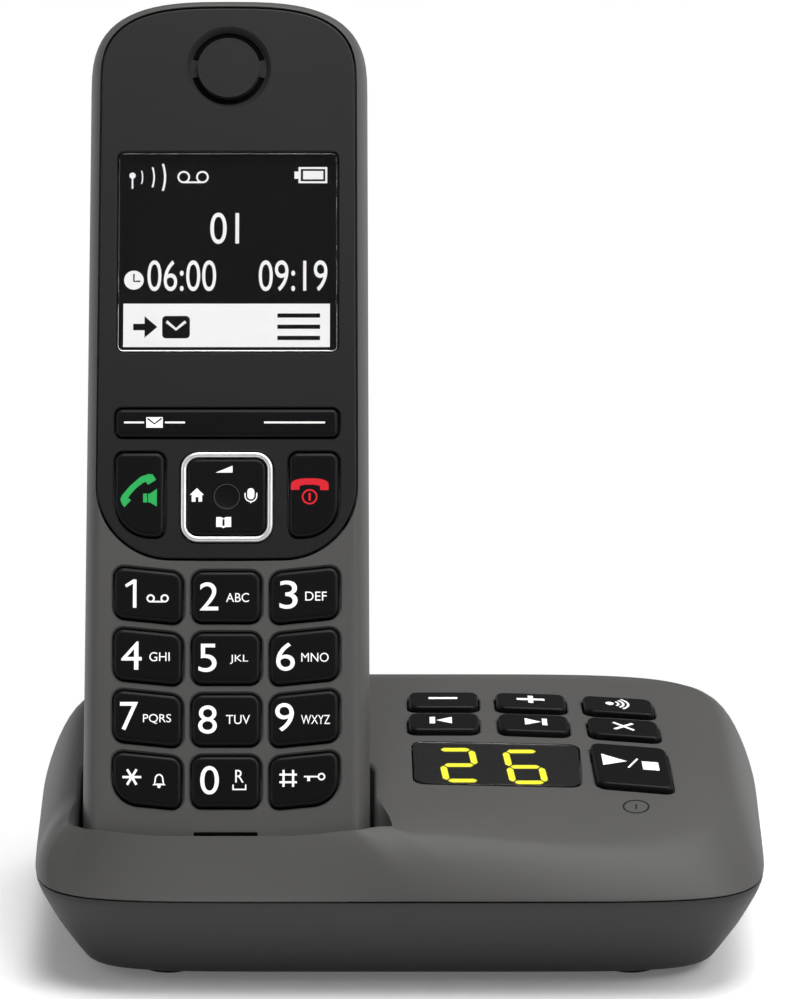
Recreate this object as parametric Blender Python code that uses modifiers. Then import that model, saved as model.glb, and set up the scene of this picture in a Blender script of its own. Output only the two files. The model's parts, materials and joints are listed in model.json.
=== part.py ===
"""Cordless telephone: a base with an answering machine, and a handset standing in its cradle.

Metres, +Z up, +X to the right and +Y away from the person who uses it.
Run with: blender --background --python part.py
"""
import math

import bmesh
import bpy
from mathutils import Matrix

# Clearances that pieces keep to each other
GAP = 0.0003
SLIDE_GAP = 0.0003
OVERRUN = 0.004

# Base, outer form
BASE_WIDTH = 0.1259
BASE_DEPTH = 0.0890
BASE_RIM_EXPONENT = 7.0
BASE_CROWN_EXPONENT = 4.7
BASE_CORNER_EXPONENT = 7.0
SEAM_HEIGHT = 0.0188
FOOT_HEIGHT = 0.0010
BASE_WALL = 0.0020
FLOOR_WALL = 0.0018
SHOULDER_INSET = 0.0088
SHOULDER_RISE_POWER = 1.8
CORNER_RISE_POWER = 0.9
CREST_HEIGHT = 0.0346
CREST_MARGIN = 0.0115
PANEL_RADIUS = 0.280
LOWER_SIDE_INSET = 0.0087
LOWER_FRONT_INSET = 0.0132
LOWER_PROFILE_SHARES = (
    (0.0, 0.0), (0.09, 0.13), (0.24, 0.3), (0.43, 0.5), (0.65, 0.7), (0.82, 0.85), (0.96, 0.95), (1.2, 1.0))
CROWN_SHARES = (0.93, 0.82, 0.62, 0.36, 0.12)

# Collar that lifts the front wall in front of the handset, and more at its left corner
COLLAR_RISE = 0.0023
COLLAR_CORNER_RISE = 0.0014
COLLAR_CORNER_REACH = 0.0195
COLLAR_FRONT_REACH = 0.0200
COLLAR_RIGHT_REACH = 0.0450

# Handset, outer form; its length runs up, its depth away from the keys
HANDSET_LENGTH = 0.1576
HANDSET_WIDTH = 0.0494
HANDSET_TOP_WIDTH = 0.0483
HANDSET_TOP_ARCH = 0.0160
HANDSET_TOP_EXPONENT = 3.0
HANDSET_FOOT_ARCH = 0.0080
HANDSET_FOOT_EXPONENT = 3.2
HANDSET_WALL = 0.0018
PARTING_DEPTH = 0.0095
FACE_ROUND = 0.0026
REAR_ROUND = 0.0085
FOOT_THICKNESS = 0.0215
WAIST_THICKNESS = 0.0285
HEAD_THICKNESS = 0.0210
WAIST_SHARE = 0.5393
FACE_SHARES = (0.35, 0.75)
LEAN_ANGLE = math.radians(29.0)

# Where the handset stands in the base, from the base's left side, its front and its seam
HANDSET_SIDE_MARGIN = 0.00845
HANDSET_FRONT_MARGIN = 0.0042
HANDSET_FOOT_RISE = 0.0022

# Cradle well
WELL_CLEARANCE = 0.0006
WELL_WALL = 0.0014
WELL_DEPTH = 0.0300

# Handset fascia and what it holds; shares are of the handset's length, up from its foot
FASCIA_SIDE_MARGIN = 0.0022
FASCIA_FOOT_SHARE = 0.3585
FASCIA_TOP_MARGIN = 0.0028
FASCIA_ARCH = 0.0140
FASCIA_BOW = 0.0004
FASCIA_FOOT_RADIUS = 0.0125
FASCIA_THICKNESS = 0.0017
FASCIA_POCKET = 0.0024
FASCIA_PROUD = 0.0002
WINDOW_SIDE_MARGIN = 0.00313
WINDOW_HEIGHT = 0.0354
WINDOW_SHARE = 0.7043
WINDOW_RADIUS = 0.0009
WINDOW_THICKNESS = 0.0010
LCD_MARGIN = 0.0010
LCD_THICKNESS = 0.0018
EARPIECE_SHARE = 0.9143
EARPIECE_SLOT_RADIUS = 0.0067
EARPIECE_SLOT_WIDTH = 0.0010
EARPIECE_BRIDGE = 0.0031
EARPIECE_RADIUS = 0.0072
EARPIECE_THICKNESS = 0.0030
SOFTKEY_SIDE_MARGIN = 0.0030
SOFTKEY_HEIGHT = 0.0050
SOFTKEY_SHARE = 0.5102
SOFTKEY_RADIUS = 0.0011
CALL_KEY_WIDTH = 0.0085
CALL_KEY_SIDE_MARGIN = 0.0030
CALL_KEY_FOOT_MARGIN = 0.00375
CALL_KEY_TOP_GAP = 0.00275
CALL_KEY_RADIUS = 0.0015
CALL_KEY_OUTER_RADIUS = 0.0046
NAV_SIDE_GAP = 0.00285
NAV_FOOT_MARGIN = 0.0029
NAV_TOP_GAP = 0.0027
NAV_RADIUS = 0.0030
NAV_RING_WIDTH = 0.0009
NAV_GIMBAL_RADIUS = 0.0030
NAV_GIMBAL_THICKNESS = 0.0005
NAV_GIMBAL_GAP = 0.0001

# Handset keypad
KEYPAD_SIDE_MARGIN = 0.0056
KEYPAD_TOP_MARGIN = 0.0068
KEY_SIDE_GAP = 0.0017
KEY_ROW_GAP = 0.0019
KEY_FIRST_ROW_SHARE = 0.1098
KEY_RADIUS = 0.0018
KEY_WIDE_RADIUS = 0.0042
KEY_SLANT = 0.0006
KEY_PROUD = 0.0006
KEY_SUNK = 0.0016
KEY_EDGE = 0.0004
KEY_TRAVEL = 0.0006

# Handset inside
MAT_DEPTH = 0.0026
MAT_THICKNESS = 0.0010
BOARD_THICKNESS = 0.0010
MICROPHONE_PLACE = 0.0082
MICROPHONE_SLIT_WIDTH = 0.0110
MICROPHONE_SLIT_HEIGHT = 0.0006
MICROPHONE_RADIUS = 0.0025
MICROPHONE_THICKNESS = 0.0022
RINGER_RADIUS = 0.0090
RINGER_THICKNESS = 0.0035
RINGER_SHARE = 0.7487
RINGER_SLOT_WIDTH = 0.0010
RINGER_SLOT_LENGTH = 0.0090
RINGER_SLOT_PITCH = 0.0026
RINGER_SLOT_COUNT = 4
CELL_RADIUS = 0.00515
CELL_LENGTH = 0.0440
CELL_NUB_RADIUS = 0.0019
CELL_NUB_LENGTH = 0.0008
BAY_FLOOR_DEPTH = 0.0090
BAY_WALL = 0.0012
DOOR_SIDE_LAP = 0.00425
DOOR_END_LAP = 0.0023
DOOR_SHARE = 0.4283
DOOR_RADIUS = 0.0040
PAD_WIDTH = 0.0036
PAD_LENGTH = 0.0040
PAD_THICKNESS = 0.0012
PAD_OFFSET = 0.0090
PAD_DEPTH = 0.0125
PAD_PLACE = 0.0002

# Base keys: their columns stand on an arc and splay towards the front
BASE_KEY_PROUD = 0.0010
BASE_KEY_SUNK = 0.0018
BASE_KEY_TRAVEL = 0.0006
BASE_KEY_RADIUS = 0.0016
BASE_KEY_EDGE = 0.0005
BASE_KEY_SIDE_GAP = 0.0032
BASE_KEY_LENGTH = 0.0078
PLAY_KEY_EXTRA = 0.0009
PLAY_KEY_LENGTH = 0.0160
LEFT_COLUMN_SHARE = 0.1881
COLUMN_PITCH_SHARE = 0.2263
BACK_ROW_MARGIN = 0.0255
ROW_PITCH = 0.0105
PLAY_ROW_PITCH = 0.0157
ROW_ARC_RADIUS = 0.172
COLUMN_SPLAY_LENGTH = 0.460
COUNTER_COLUMN_SHARE = 0.56
COUNTER_EXTRA = 0.0012
COUNTER_LENGTH = 0.0168
COUNTER_RADIUS = 0.0022
COUNTER_THICKNESS = 0.0012
DIGIT_MARGIN = 0.0024
DIGIT_THICKNESS = 0.0040

# Base inside
BASE_MAT_DEPTH = 0.0027
BASE_MAT_THICKNESS = 0.0010
BASE_BOARD_HEIGHT = 0.0158
BASE_BOARD_THICKNESS = 0.0016
BASE_BOARD_LEFT_MARGIN = 0.0061
BASE_BOARD_RIGHT_MARGIN = 0.01895
BASE_BOARD_END_MARGIN = 0.0115
BASE_MAT_EDGE = 0.0008
BASE_MAT_LAP = 0.0019
SPEAKER_RADIUS = 0.0150
SPEAKER_THICKNESS = 0.0060
SPEAKER_RIM = 0.0024
SPEAKER_MAGNET_RADIUS = 0.0090
SPEAKER_SHARE = 0.4129
SPEAKER_BACK = -0.0100
SPEAKER_SLOT_WIDTH = 0.0016
SPEAKER_SLOT_LENGTH = 0.0200
SPEAKER_SLOT_PITCH = 0.0040
SPEAKER_SLOT_COUNT = 5
SOCKET_WIDTH = 0.0120
SOCKET_HEIGHT = 0.0085
SOCKET_LENGTH = 0.0130
SOCKET_BOTTOM = 0.0070
SOCKET_BACK_MARGIN = 0.0083
SOCKETS_SHARE = 0.3468
SOCKET_PITCH = 0.0170
JACK_WIDTH = 0.0096
JACK_HEIGHT = 0.0066
JACK_LENGTH = 0.0085
SCREW_RADIUS = 0.0012
SCREW_HEAD_RADIUS = 0.0026
SCREW_HEAD_HEIGHT = 0.0012
SCREW_LENGTH = 0.0090
BOSS_RADIUS = 0.0031
LEFT_SCREW_SHIFT = 0.0078
LEFT_SCREW_MARGIN = 0.0205
RIGHT_SCREW_SIDE_MARGIN = 0.01475
RIGHT_SCREW_MARGIN = 0.0325
FOOT_RADIUS = 0.0048
FOOT_EDGE = 0.0003
FOOT_SIDE_MARGIN = 0.02295
FOOT_END_MARGIN = 0.0220
CONTACT_RADIUS = 0.0012
CONTACT_TIP_RADIUS = 0.0006
CONTACT_LENGTH = 0.0045

# Angles and how finely round shapes are drawn
QUARTER_STEPS = 6
ARCH_STEPS = 8
SIDE_STEPS = 9
FLAT_SHARES = (0.0, 0.3, 0.55, 0.75)
CORNER_STEPS = 5
KEY_CORNER_STEPS = 3
NAV_CORNER_STEPS = 5
MAT_STEPS = 10
LEAST_RADIUS_SHARE = 0.2
ROUND_SIDES = 32
SMALL_SIDES = 16
CREASE_ANGLE = math.radians(35.0)

# Colours as the photograph shows them: red, green, blue, then roughness and metallic
SHELL_GREY = ((0.075, 0.073, 0.071), 0.55, 0.0)
LOWER_GREY = ((0.052, 0.051, 0.050), 0.60, 0.0)
FASCIA_BLACK = ((0.030, 0.030, 0.031), 0.40, 0.0)
KEY_BLACK = ((0.012, 0.012, 0.013), 0.35, 0.0)
WINDOW_BLACK = ((0.008, 0.008, 0.009), 0.12, 0.0)
LCD_BLACK = ((0.010, 0.010, 0.011), 0.25, 0.0)
CHROME = ((0.80, 0.80, 0.80), 0.15, 1.0)
GOLD = ((0.83, 0.62, 0.28), 0.25, 1.0)
STEEL = ((0.55, 0.55, 0.56), 0.30, 1.0)
BOARD_GREEN = ((0.03, 0.17, 0.07), 0.50, 0.0)
MAT_GREY = ((0.25, 0.25, 0.26), 0.80, 0.0)
RUBBER_BLACK = ((0.015, 0.015, 0.015), 0.90, 0.0)
CELL_GREEN = ((0.05, 0.25, 0.12), 0.40, 0.0)
SPEAKER_GREY = ((0.10, 0.10, 0.10), 0.50, 0.0)
SOCKET_BLACK = ((0.02, 0.02, 0.02), 0.45, 0.0)

# Places and sizes that follow from those above: the handset in the base, and the panel beside it
HANDSET_OFFSET = HANDSET_SIDE_MARGIN + HANDSET_WIDTH / 2 - BASE_WIDTH / 2
HANDSET_FOOT_FRONT = HANDSET_FRONT_MARGIN - BASE_DEPTH / 2
HANDSET_FOOT_HEIGHT = SEAM_HEIGHT + HANDSET_FOOT_RISE
CREST_BACK = BASE_DEPTH / 2 - CREST_MARGIN
PANEL_LEFT = HANDSET_OFFSET + HANDSET_WIDTH / 2
PANEL_WIDTH = BASE_WIDTH / 2 - PANEL_LEFT
LEFT_COLUMN = PANEL_LEFT + LEFT_COLUMN_SHARE * PANEL_WIDTH
COLUMN_PITCH = COLUMN_PITCH_SHARE * PANEL_WIDTH
BASE_KEY_WIDTH = COLUMN_PITCH - BASE_KEY_SIDE_GAP
PLAY_KEY_WIDTH = BASE_KEY_WIDTH + PLAY_KEY_EXTRA
BACK_ROW = BASE_DEPTH / 2 - BACK_ROW_MARGIN
FRONT_ROW = BACK_ROW - ROW_PITCH
PLAY_ROW = FRONT_ROW - PLAY_ROW_PITCH
COUNTER_WIDTH = COLUMN_PITCH + BASE_KEY_WIDTH + COUNTER_EXTRA
SPEAKER_OFFSET = PANEL_LEFT + SPEAKER_SHARE * PANEL_WIDTH
SOCKET_FACE_BACK = BASE_DEPTH / 2 - SOCKET_BACK_MARGIN
LINE_SOCKET_OFFSET = PANEL_LEFT + SOCKETS_SHARE * PANEL_WIDTH - SOCKET_PITCH / 2
POWER_SOCKET_OFFSET = LINE_SOCKET_OFFSET + SOCKET_PITCH
FOOT_OFFSET = BASE_WIDTH / 2 - FOOT_SIDE_MARGIN
FOOT_BACK = BASE_DEPTH / 2 - FOOT_END_MARGIN

# Places up the handset, and the keys' sizes between them
WAIST_PLACE = WAIST_SHARE * HANDSET_LENGTH
FASCIA_FOOT = FASCIA_FOOT_SHARE * HANDSET_LENGTH
WINDOW_PLACE = WINDOW_SHARE * HANDSET_LENGTH
EARPIECE_PLACE = EARPIECE_SHARE * HANDSET_LENGTH
SOFTKEY_PLACE = SOFTKEY_SHARE * HANDSET_LENGTH
RINGER_PLACE = RINGER_SHARE * HANDSET_LENGTH
SOFTKEY_FOOT = SOFTKEY_PLACE - SOFTKEY_HEIGHT / 2
CALL_KEY_HEIGHT = SOFTKEY_FOOT - CALL_KEY_TOP_GAP - CALL_KEY_FOOT_MARGIN - FASCIA_FOOT
CALL_KEY_PLACE = FASCIA_FOOT + CALL_KEY_FOOT_MARGIN + CALL_KEY_HEIGHT / 2
NAV_HEIGHT = SOFTKEY_FOOT - NAV_TOP_GAP - NAV_FOOT_MARGIN - FASCIA_FOOT
NAV_PLACE = FASCIA_FOOT + NAV_FOOT_MARGIN + NAV_HEIGHT / 2
KEY_FIRST_ROW = KEY_FIRST_ROW_SHARE * HANDSET_LENGTH
KEY_PITCH_UP = (FASCIA_FOOT - KEYPAD_TOP_MARGIN - KEY_FIRST_ROW) / 3
KEY_HEIGHT = KEY_PITCH_UP - KEY_ROW_GAP
KEY_WIDTH = (HANDSET_WIDTH - 2 * KEYPAD_SIDE_MARGIN - 2 * KEY_SIDE_GAP) / 3
KEY_PITCH_ACROSS = KEY_WIDTH + KEY_SIDE_GAP

# The battery bay takes two cells side by side, and its door covers it all round
BAY_WIDTH = 4 * CELL_RADIUS + 3 * GAP
BAY_LENGTH = CELL_LENGTH + CELL_NUB_LENGTH + 2 * GAP
DOOR_WIDTH = BAY_WIDTH + 2 * DOOR_SIDE_LAP
DOOR_LENGTH = BAY_LENGTH + 2 * DOOR_END_LAP
DOOR_PLACE = DOOR_SHARE * HANDSET_LENGTH
DOOR_TOP = DOOR_PLACE + DOOR_LENGTH / 2


def clear_scene():
    """Remove every object, so that the part starts from nothing."""
    for old in list(bpy.data.objects):
        bpy.data.objects.remove(old, do_unlink=True)


clear_scene()
PART = bpy.data.collections.new("cordless_telephone")
CUTTERS = bpy.data.collections.new("cutters")
bpy.context.scene.collection.children.link(PART)
bpy.context.scene.collection.children.link(CUTTERS)


def finish_material(name, look):
    """Give a Principled material with a colour, a roughness and a metallic value."""
    colour, roughness, metallic = look
    material = bpy.data.materials.new(name)
    material.use_nodes = True
    shader = material.node_tree.nodes["Principled BSDF"]
    shader.inputs["Base Color"].default_value = (*colour, 1.0)
    shader.inputs["Roughness"].default_value = roughness
    shader.inputs["Metallic"].default_value = metallic
    return material


def empty(name, location, parent=None, tilt=0.0):
    """Add a frame that other pieces are placed in."""
    frame = bpy.data.objects.new(name, None)
    frame.location = location
    frame.rotation_euler = (tilt, 0.0, 0.0)
    frame.parent = parent
    PART.objects.link(frame)
    return frame


def mesh_object(name, shape, parent=None, location=(0.0, 0.0, 0.0), look=None):
    """Turn a bmesh into an object: a piece when it has a look, and otherwise a cutter."""
    bmesh.ops.recalc_face_normals(shape, faces=shape.faces[:])
    mesh = bpy.data.meshes.new(name)
    shape.to_mesh(mesh)
    shape.free()
    mesh.shade_smooth()
    mesh.set_sharp_from_angle(angle=CREASE_ANGLE)
    piece = bpy.data.objects.new(name, mesh)
    piece.parent = parent
    piece.location = location
    if look is None:
        hide_cutter(piece)
    else:
        mesh.materials.append(finish_material(name, look))
        PART.objects.link(piece)
    return piece


def hide_cutter(cutter):
    """File an object with the cutters, out of renders."""
    CUTTERS.objects.link(cutter)
    cutter.hide_render = True
    cutter.display_type = "WIRE"


def boolean(piece, tool, operation="DIFFERENCE"):
    """Cut a piece by a tool, or join or intersect them."""
    modifier = piece.modifiers.new(operation.lower() + "_" + tool.name, "BOOLEAN")
    modifier.operation = operation
    modifier.solver = "EXACT"
    modifier.object = tool


def box_shape(size, centre):
    """A box of a size about a centre."""
    shape = bmesh.new()
    bmesh.ops.create_cube(shape, size=1.0)
    bmesh.ops.scale(shape, vec=size, verts=shape.verts)
    bmesh.ops.translate(shape, vec=centre, verts=shape.verts)
    return shape


def merge_shapes(shapes):
    """Gather shapes that don't touch into one bmesh."""
    whole = bmesh.new()
    for shape in shapes:
        scratch = bpy.data.meshes.new("scratch")
        shape.to_mesh(scratch)
        shape.free()
        whole.from_mesh(scratch)
        bpy.data.meshes.remove(scratch)
    return whole


def turned_shape(profile, sides):
    """A round solid about Z from radius and height pairs, listed upwards."""
    rings = []
    for radius, height in profile:
        ring = []
        for step in range(sides):
            angle = math.tau * step / sides - math.pi / 2
            ring.append((radius * math.cos(angle), radius * math.sin(angle), height))
        rings.append(ring)
    return loft_shape(rings)


def loft_shape(rings, crowned=False):
    """Close a stack of rings into one solid.

    The ends are flat faces, or strips across mirrored rings where the end is crowned.
    """
    shape = bmesh.new()
    loops = [[shape.verts.new(point) for point in ring] for ring in rings]
    count = len(loops[0])
    for here, there in zip(loops, loops[1:]):
        for i in range(count):
            j = (i + 1) % count
            shape.faces.new((here[i], here[j], there[j], there[i]))
    if not crowned:
        shape.faces.new(loops[0])
        shape.faces.new(loops[-1])
        return shape
    for loop in (loops[0], loops[-1]):
        half = count // 2
        shape.faces.new((loop[0], loop[1], loop[-1]))
        for i in range(1, half - 1):
            shape.faces.new((loop[i], loop[i + 1], loop[-i - 1], loop[-i]))
        shape.faces.new((loop[half - 1], loop[half], loop[half + 1]))
    return shape


def upright(rings):
    """Stand rings drawn as across, up, depth in a frame whose depth is +Y."""
    return [[(u, h, v) for u, v, h in ring] for ring in rings]


def slab_rings(outline, edge, low, high):
    """Rings of a slab between two levels, its edges eased by a small bevel."""
    rings = [[(u, v, low) for u, v in outline(edge)]]
    rings.append([(u, v, low + edge) for u, v in outline(0.0)])
    rings.append([(u, v, high - edge) for u, v in outline(0.0)])
    rings.append([(u, v, high) for u, v in outline(edge)])
    return rings


def plain_rings(outline, low, high):
    """Rings of a slab with square edges."""
    return [[(u, v, level) for u, v in outline(0.0)] for level in (low, high)]


def corner_arc(centre, radius, start, steps):
    """Points of a quarter circle that starts at an angle."""
    points = []
    for step in range(steps + 1):
        angle = start + math.pi / 2 * step / steps
        points.append((centre[0] + radius * math.cos(angle), centre[1] + radius * math.sin(angle)))
    return points


def rounded_outline(width, height, radii, centre=(0.0, 0.0), steps=KEY_CORNER_STEPS,
                    shift=None):
    """A rounded rectangle as a function of its inset.

    radii are foot right, top right, top left and foot left; shift moves each point by its place.
    """
    def outline(inset):
        half_width = width / 2 - inset
        half_height = height / 2 - inset
        points = []
        quarters = ((1, -1), (1, 1), (-1, 1), (-1, -1))
        for number, (side, rise) in enumerate(quarters):
            radius = max(radii[number] - inset, radii[number] * LEAST_RADIUS_SHARE)
            middle = (side * (half_width - radius), rise * (half_height - radius))
            points += corner_arc(middle, radius, (number - 1) * math.pi / 2, steps)
        if shift:
            points = [shift(u, v) for u, v in points]
        return [(centre[0] + u, centre[1] + v) for u, v in points]
    return outline


def superellipse_point(half_u, half_v, exponent, angle):
    """A point of a superellipse."""
    cosine = math.cos(angle)
    sine = math.sin(angle)
    u = half_u * math.copysign(abs(cosine) ** (2 / exponent), cosine)
    v = half_v * math.copysign(abs(sine) ** (2 / exponent), sine)
    return u, v


def crowded_angles(exponent):
    """Angles of a quarter superellipse, with few points on its flats and more in its corner."""
    flats = [math.asin(share ** (exponent / 2)) for share in FLAT_SHARES]
    span = math.pi / 2 - 2 * flats[-1]
    corner = [flats[-1] + span * step / CORNER_STEPS for step in range(1, CORNER_STEPS)]
    return flats + corner + [math.pi / 2 - angle for angle in reversed(flats)]


def even_angles(steps):
    """Angles of a quarter turn in even steps."""
    return [math.pi / 2 * step / steps for step in range(steps + 1)]


def base_outline(inset, front_inset=None, straight=False):
    """Plan of the base at an inset, from the middle of its front round its right side.

    Its corners grow rounder towards the crown, apart from the front left one, unless it is straight.
    """
    if front_inset is None:
        front_inset = inset
    share = 0.0 if straight else min(inset / SHOULDER_INSET, 1.0)
    half_width = BASE_WIDTH / 2 - inset
    half_depth = BASE_DEPTH / 2 - front_inset
    turns = crowded_angles(BASE_RIM_EXPONENT)
    points = []
    for number, crown in enumerate(
            (BASE_CROWN_EXPONENT, BASE_CROWN_EXPONENT, BASE_CROWN_EXPONENT, BASE_CORNER_EXPONENT)):
        exponent = BASE_RIM_EXPONENT + (crown - BASE_RIM_EXPONENT) * share
        for turn in turns[:-1]:
            angle = turn + (number - 1) * math.pi / 2
            points.append(superellipse_point(half_width, half_depth, exponent, angle))
    return points


def smooth_step(value, start, end):
    """Rise from 0 at start to 1 at end without a kink."""
    share = min(max((value - start) / (end - start), 0.0), 1.0)
    return share * share * (3 - 2 * share)


def near_front(back):
    """1 along the base's front, falling to 0 behind the collar."""
    start = SHOULDER_INSET - BASE_DEPTH / 2
    return 1 - smooth_step(back, start, start + COLLAR_FRONT_REACH)


def near_left(across, reach):
    """1 from the base's left side to the handset's left edge, falling to 0 over a reach."""
    start = HANDSET_OFFSET - HANDSET_WIDTH / 2
    return 1 - smooth_step(across, start, start + reach)


def panel_height(across, back):
    """Height of the base's upper surface."""
    dome = CREST_HEIGHT - (back - CREST_BACK) ** 2 / (2 * PANEL_RADIUS)
    collar = COLLAR_RISE * (1 - smooth_step(across, PANEL_LEFT, PANEL_LEFT + COLLAR_RIGHT_REACH))
    corner = COLLAR_CORNER_RISE * near_left(across, COLLAR_CORNER_REACH)
    return dome + (collar + corner) * near_front(back)


def panel_tilt(back):
    """Slope of the panel's middle line, as a turn about X."""
    return math.atan((CREST_BACK - back) / PANEL_RADIUS)


def shoulder_rings(inset, sunk):
    """Rings of the upper shell's outer or inner skin, from its rim to its crown."""
    rings = []
    for step in range(QUARTER_STEPS + 1):
        angle = math.pi / 2 * step / QUARTER_STEPS
        ring = []
        for u, v in base_outline(inset + SHOULDER_INSET * (1 - math.cos(angle))):
            fullness = near_left(u, HANDSET_WIDTH / 2) * near_front(v)
            power = SHOULDER_RISE_POWER + (CORNER_RISE_POWER - SHOULDER_RISE_POWER) * fullness
            top = panel_height(u, v) - sunk
            ring.append((u, v, SEAM_HEIGHT + (top - SEAM_HEIGHT) * math.sin(angle) ** power))
        rings.append(ring)
    crown = base_outline(inset + SHOULDER_INSET)
    for share in CROWN_SHARES:
        ring = [(u * share, v * share, panel_height(u * share, v * share) - sunk) for u, v in crown]
        rings.append(ring)
    return rings


def lower_rings(inset, floor):
    """Rings of the lower shell's outer or inner skin, from its rim down."""
    rings = []
    rim = SEAM_HEIGHT - GAP
    for inset_share, drop_share in LOWER_PROFILE_SHARES:
        side = inset + LOWER_SIDE_INSET * inset_share
        front = inset + LOWER_FRONT_INSET * inset_share
        level = rim + (floor - rim) * drop_share
        rings.append([(u, v, level) for u, v in base_outline(side, front, straight=True)])
    return rings


def half_width(place):
    """Half the handset's width at a place above its foot."""
    share = (place - HANDSET_FOOT_ARCH) / (HANDSET_LENGTH - HANDSET_TOP_ARCH - HANDSET_FOOT_ARCH)
    return (HANDSET_WIDTH + (HANDSET_TOP_WIDTH - HANDSET_WIDTH) * min(max(share, 0.0), 1.0)) / 2


def handset_outline(inset):
    """Front view of the handset at an inset, from the middle of its foot round its right side."""
    half_foot = HANDSET_WIDTH / 2
    half_top = HANDSET_TOP_WIDTH / 2
    share = (half_foot - inset) / half_foot
    foot_arch = HANDSET_FOOT_ARCH * share
    top_arch = HANDSET_TOP_ARCH * share
    low = inset + foot_arch
    high = HANDSET_LENGTH - inset - top_arch
    right = []
    for angle in even_angles(ARCH_STEPS):
        point = superellipse_point(half_foot - inset, foot_arch, HANDSET_FOOT_EXPONENT, angle - math.pi / 2)
        right.append((point[0], low + point[1]))
    for step in range(1, SIDE_STEPS):
        mix = step / SIDE_STEPS
        right.append((half_foot + (half_top - half_foot) * mix - inset, low + (high - low) * mix))
    for angle in even_angles(ARCH_STEPS):
        point = superellipse_point(half_top - inset, top_arch, HANDSET_TOP_EXPONENT, angle)
        right.append((point[0], high + point[1]))
    left = [(-u, v) for u, v in reversed(right[1:-1])]
    return right + left


def rear_depth(place):
    """Thickness of the handset at a place above its foot."""
    if place < WAIST_PLACE:
        mix = smooth_step(place, 0.0, WAIST_PLACE)
        return FOOT_THICKNESS + (WAIST_THICKNESS - FOOT_THICKNESS) * mix
    mix = smooth_step(place, WAIST_PLACE, HANDSET_LENGTH)
    return WAIST_THICKNESS + (HEAD_THICKNESS - WAIST_THICKNESS) * mix


def handset_skin(inset, rim, crown, rounding, power):
    """Rings of a handset skin, from its rim at the parting to the middle of its face."""
    rings = []
    for step in range(QUARTER_STEPS):
        angle = math.pi / 2 * step / (QUARTER_STEPS - 1)
        rise = math.sin(angle) ** power
        ring = []
        for u, v in handset_outline(inset + rounding * (1 - math.cos(angle))):
            ring.append((u, v, rim + (crown(v) - rim) * rise))
        rings.append(ring)
    reach = HANDSET_WIDTH / 2 - inset - rounding
    for share in FACE_SHARES:
        rings.append([(u, v, crown(v)) for u, v in handset_outline(inset + rounding + reach * share)])
    return rings


def well_solid(name, offset, front, back):
    """A solid round the standing handset, open upwards past the base."""
    rings = plain_rings(lambda inset: handset_outline(-offset), front, back)
    return mesh_object(name, loft_shape(upright(rings)), HANDSET)


def add_base_shells():
    """The upper shell with its cradle well and screw bosses, and the lower shell."""
    outer = shoulder_rings(0.0, 0.0)
    inner = shoulder_rings(BASE_WALL, BASE_WALL)
    upper = mesh_object("base_upper_shell", loft_shape(outer[::-1] + inner, crowned=True), BASE,
                        look=SHELL_GREY)

    floor = FOOT_HEIGHT + FLOOR_WALL
    core_rings = shoulder_rings(BASE_WALL / 2, BASE_WALL / 2)[::-1]
    core_rings += lower_rings(FLOOR_WALL + 2 * GAP, floor + GAP)
    core = mesh_object("base_core", loft_shape(core_rings, crowned=True), BASE)
    well_back = rear_depth(WELL_DEPTH) + WELL_CLEARANCE
    block = well_solid("well_block", WELL_CLEARANCE + WELL_WALL, -WELL_CLEARANCE - WELL_WALL,
                       well_back + WELL_WALL)
    boolean(block, core, "INTERSECT")
    boolean(upper, block, "UNION")
    for side, (across, back) in enumerate(screw_places()):
        top = panel_height(across, back) - BASE_WALL / 2
        profile = [(BOSS_RADIUS, floor + GAP), (BOSS_RADIUS, top)]
        boss = mesh_object(f"boss_{side}", turned_shape(profile, SMALL_SIDES), BASE, (across, back, 0.0))
        boolean(upper, boss, "UNION")
        bore = [(SCREW_RADIUS + GAP, 0.0), (SCREW_RADIUS + GAP, floor + SCREW_LENGTH)]
        drill = mesh_object(f"drill_{side}", turned_shape(bore, SMALL_SIDES), BASE, (across, back, 0.0))
        boolean(upper, drill)
    boolean(upper, well_solid("well_cavity", WELL_CLEARANCE, -WELL_CLEARANCE, well_back))

    rings = lower_rings(0.0, FOOT_HEIGHT)[::-1] + lower_rings(FLOOR_WALL, floor)
    lower = mesh_object("base_lower_shell", loft_shape(rings), BASE, look=LOWER_GREY)
    return upper, lower


def screw_places():
    """Where the two case screws stand."""
    left = (HANDSET_OFFSET + LEFT_SCREW_SHIFT, BASE_DEPTH / 2 - LEFT_SCREW_MARGIN)
    right = (BASE_WIDTH / 2 - RIGHT_SCREW_SIDE_MARGIN, BASE_DEPTH / 2 - RIGHT_SCREW_MARGIN)
    return left, right


def panel_place(column, row):
    """Across and back of a panel place, from how far it lies from the left column."""
    across = LEFT_COLUMN + column * (1 + (BACK_ROW - row) / COLUMN_SPLAY_LENGTH)
    return across, row - column * column / (2 * ROW_ARC_RADIUS)


def panel_frame(name, column, row, parent):
    """A frame on the panel, its Z square to the surface."""
    across, back = panel_place(column, row)
    return empty(name, (across, back, panel_height(across, back)), parent, panel_tilt(back))


def panel_slab(name, column, size, radius, edge, levels, frame, look=None):
    """A rounded slab on the panel, its rows sheared along the arc and its sides splayed."""
    slope = column / ROW_ARC_RADIUS
    splay = column / COLUMN_SPLAY_LENGTH

    def shear(u, v):
        return u - v * splay, v - u * slope

    outline = rounded_outline(size[0], size[1], [radius] * 4, shift=shear)
    if edge:
        rings = slab_rings(outline, edge, levels[0], levels[1])
    else:
        rings = plain_rings(outline, levels[0], levels[1])
    return mesh_object(name, loft_shape(rings), frame, look=look)


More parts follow.
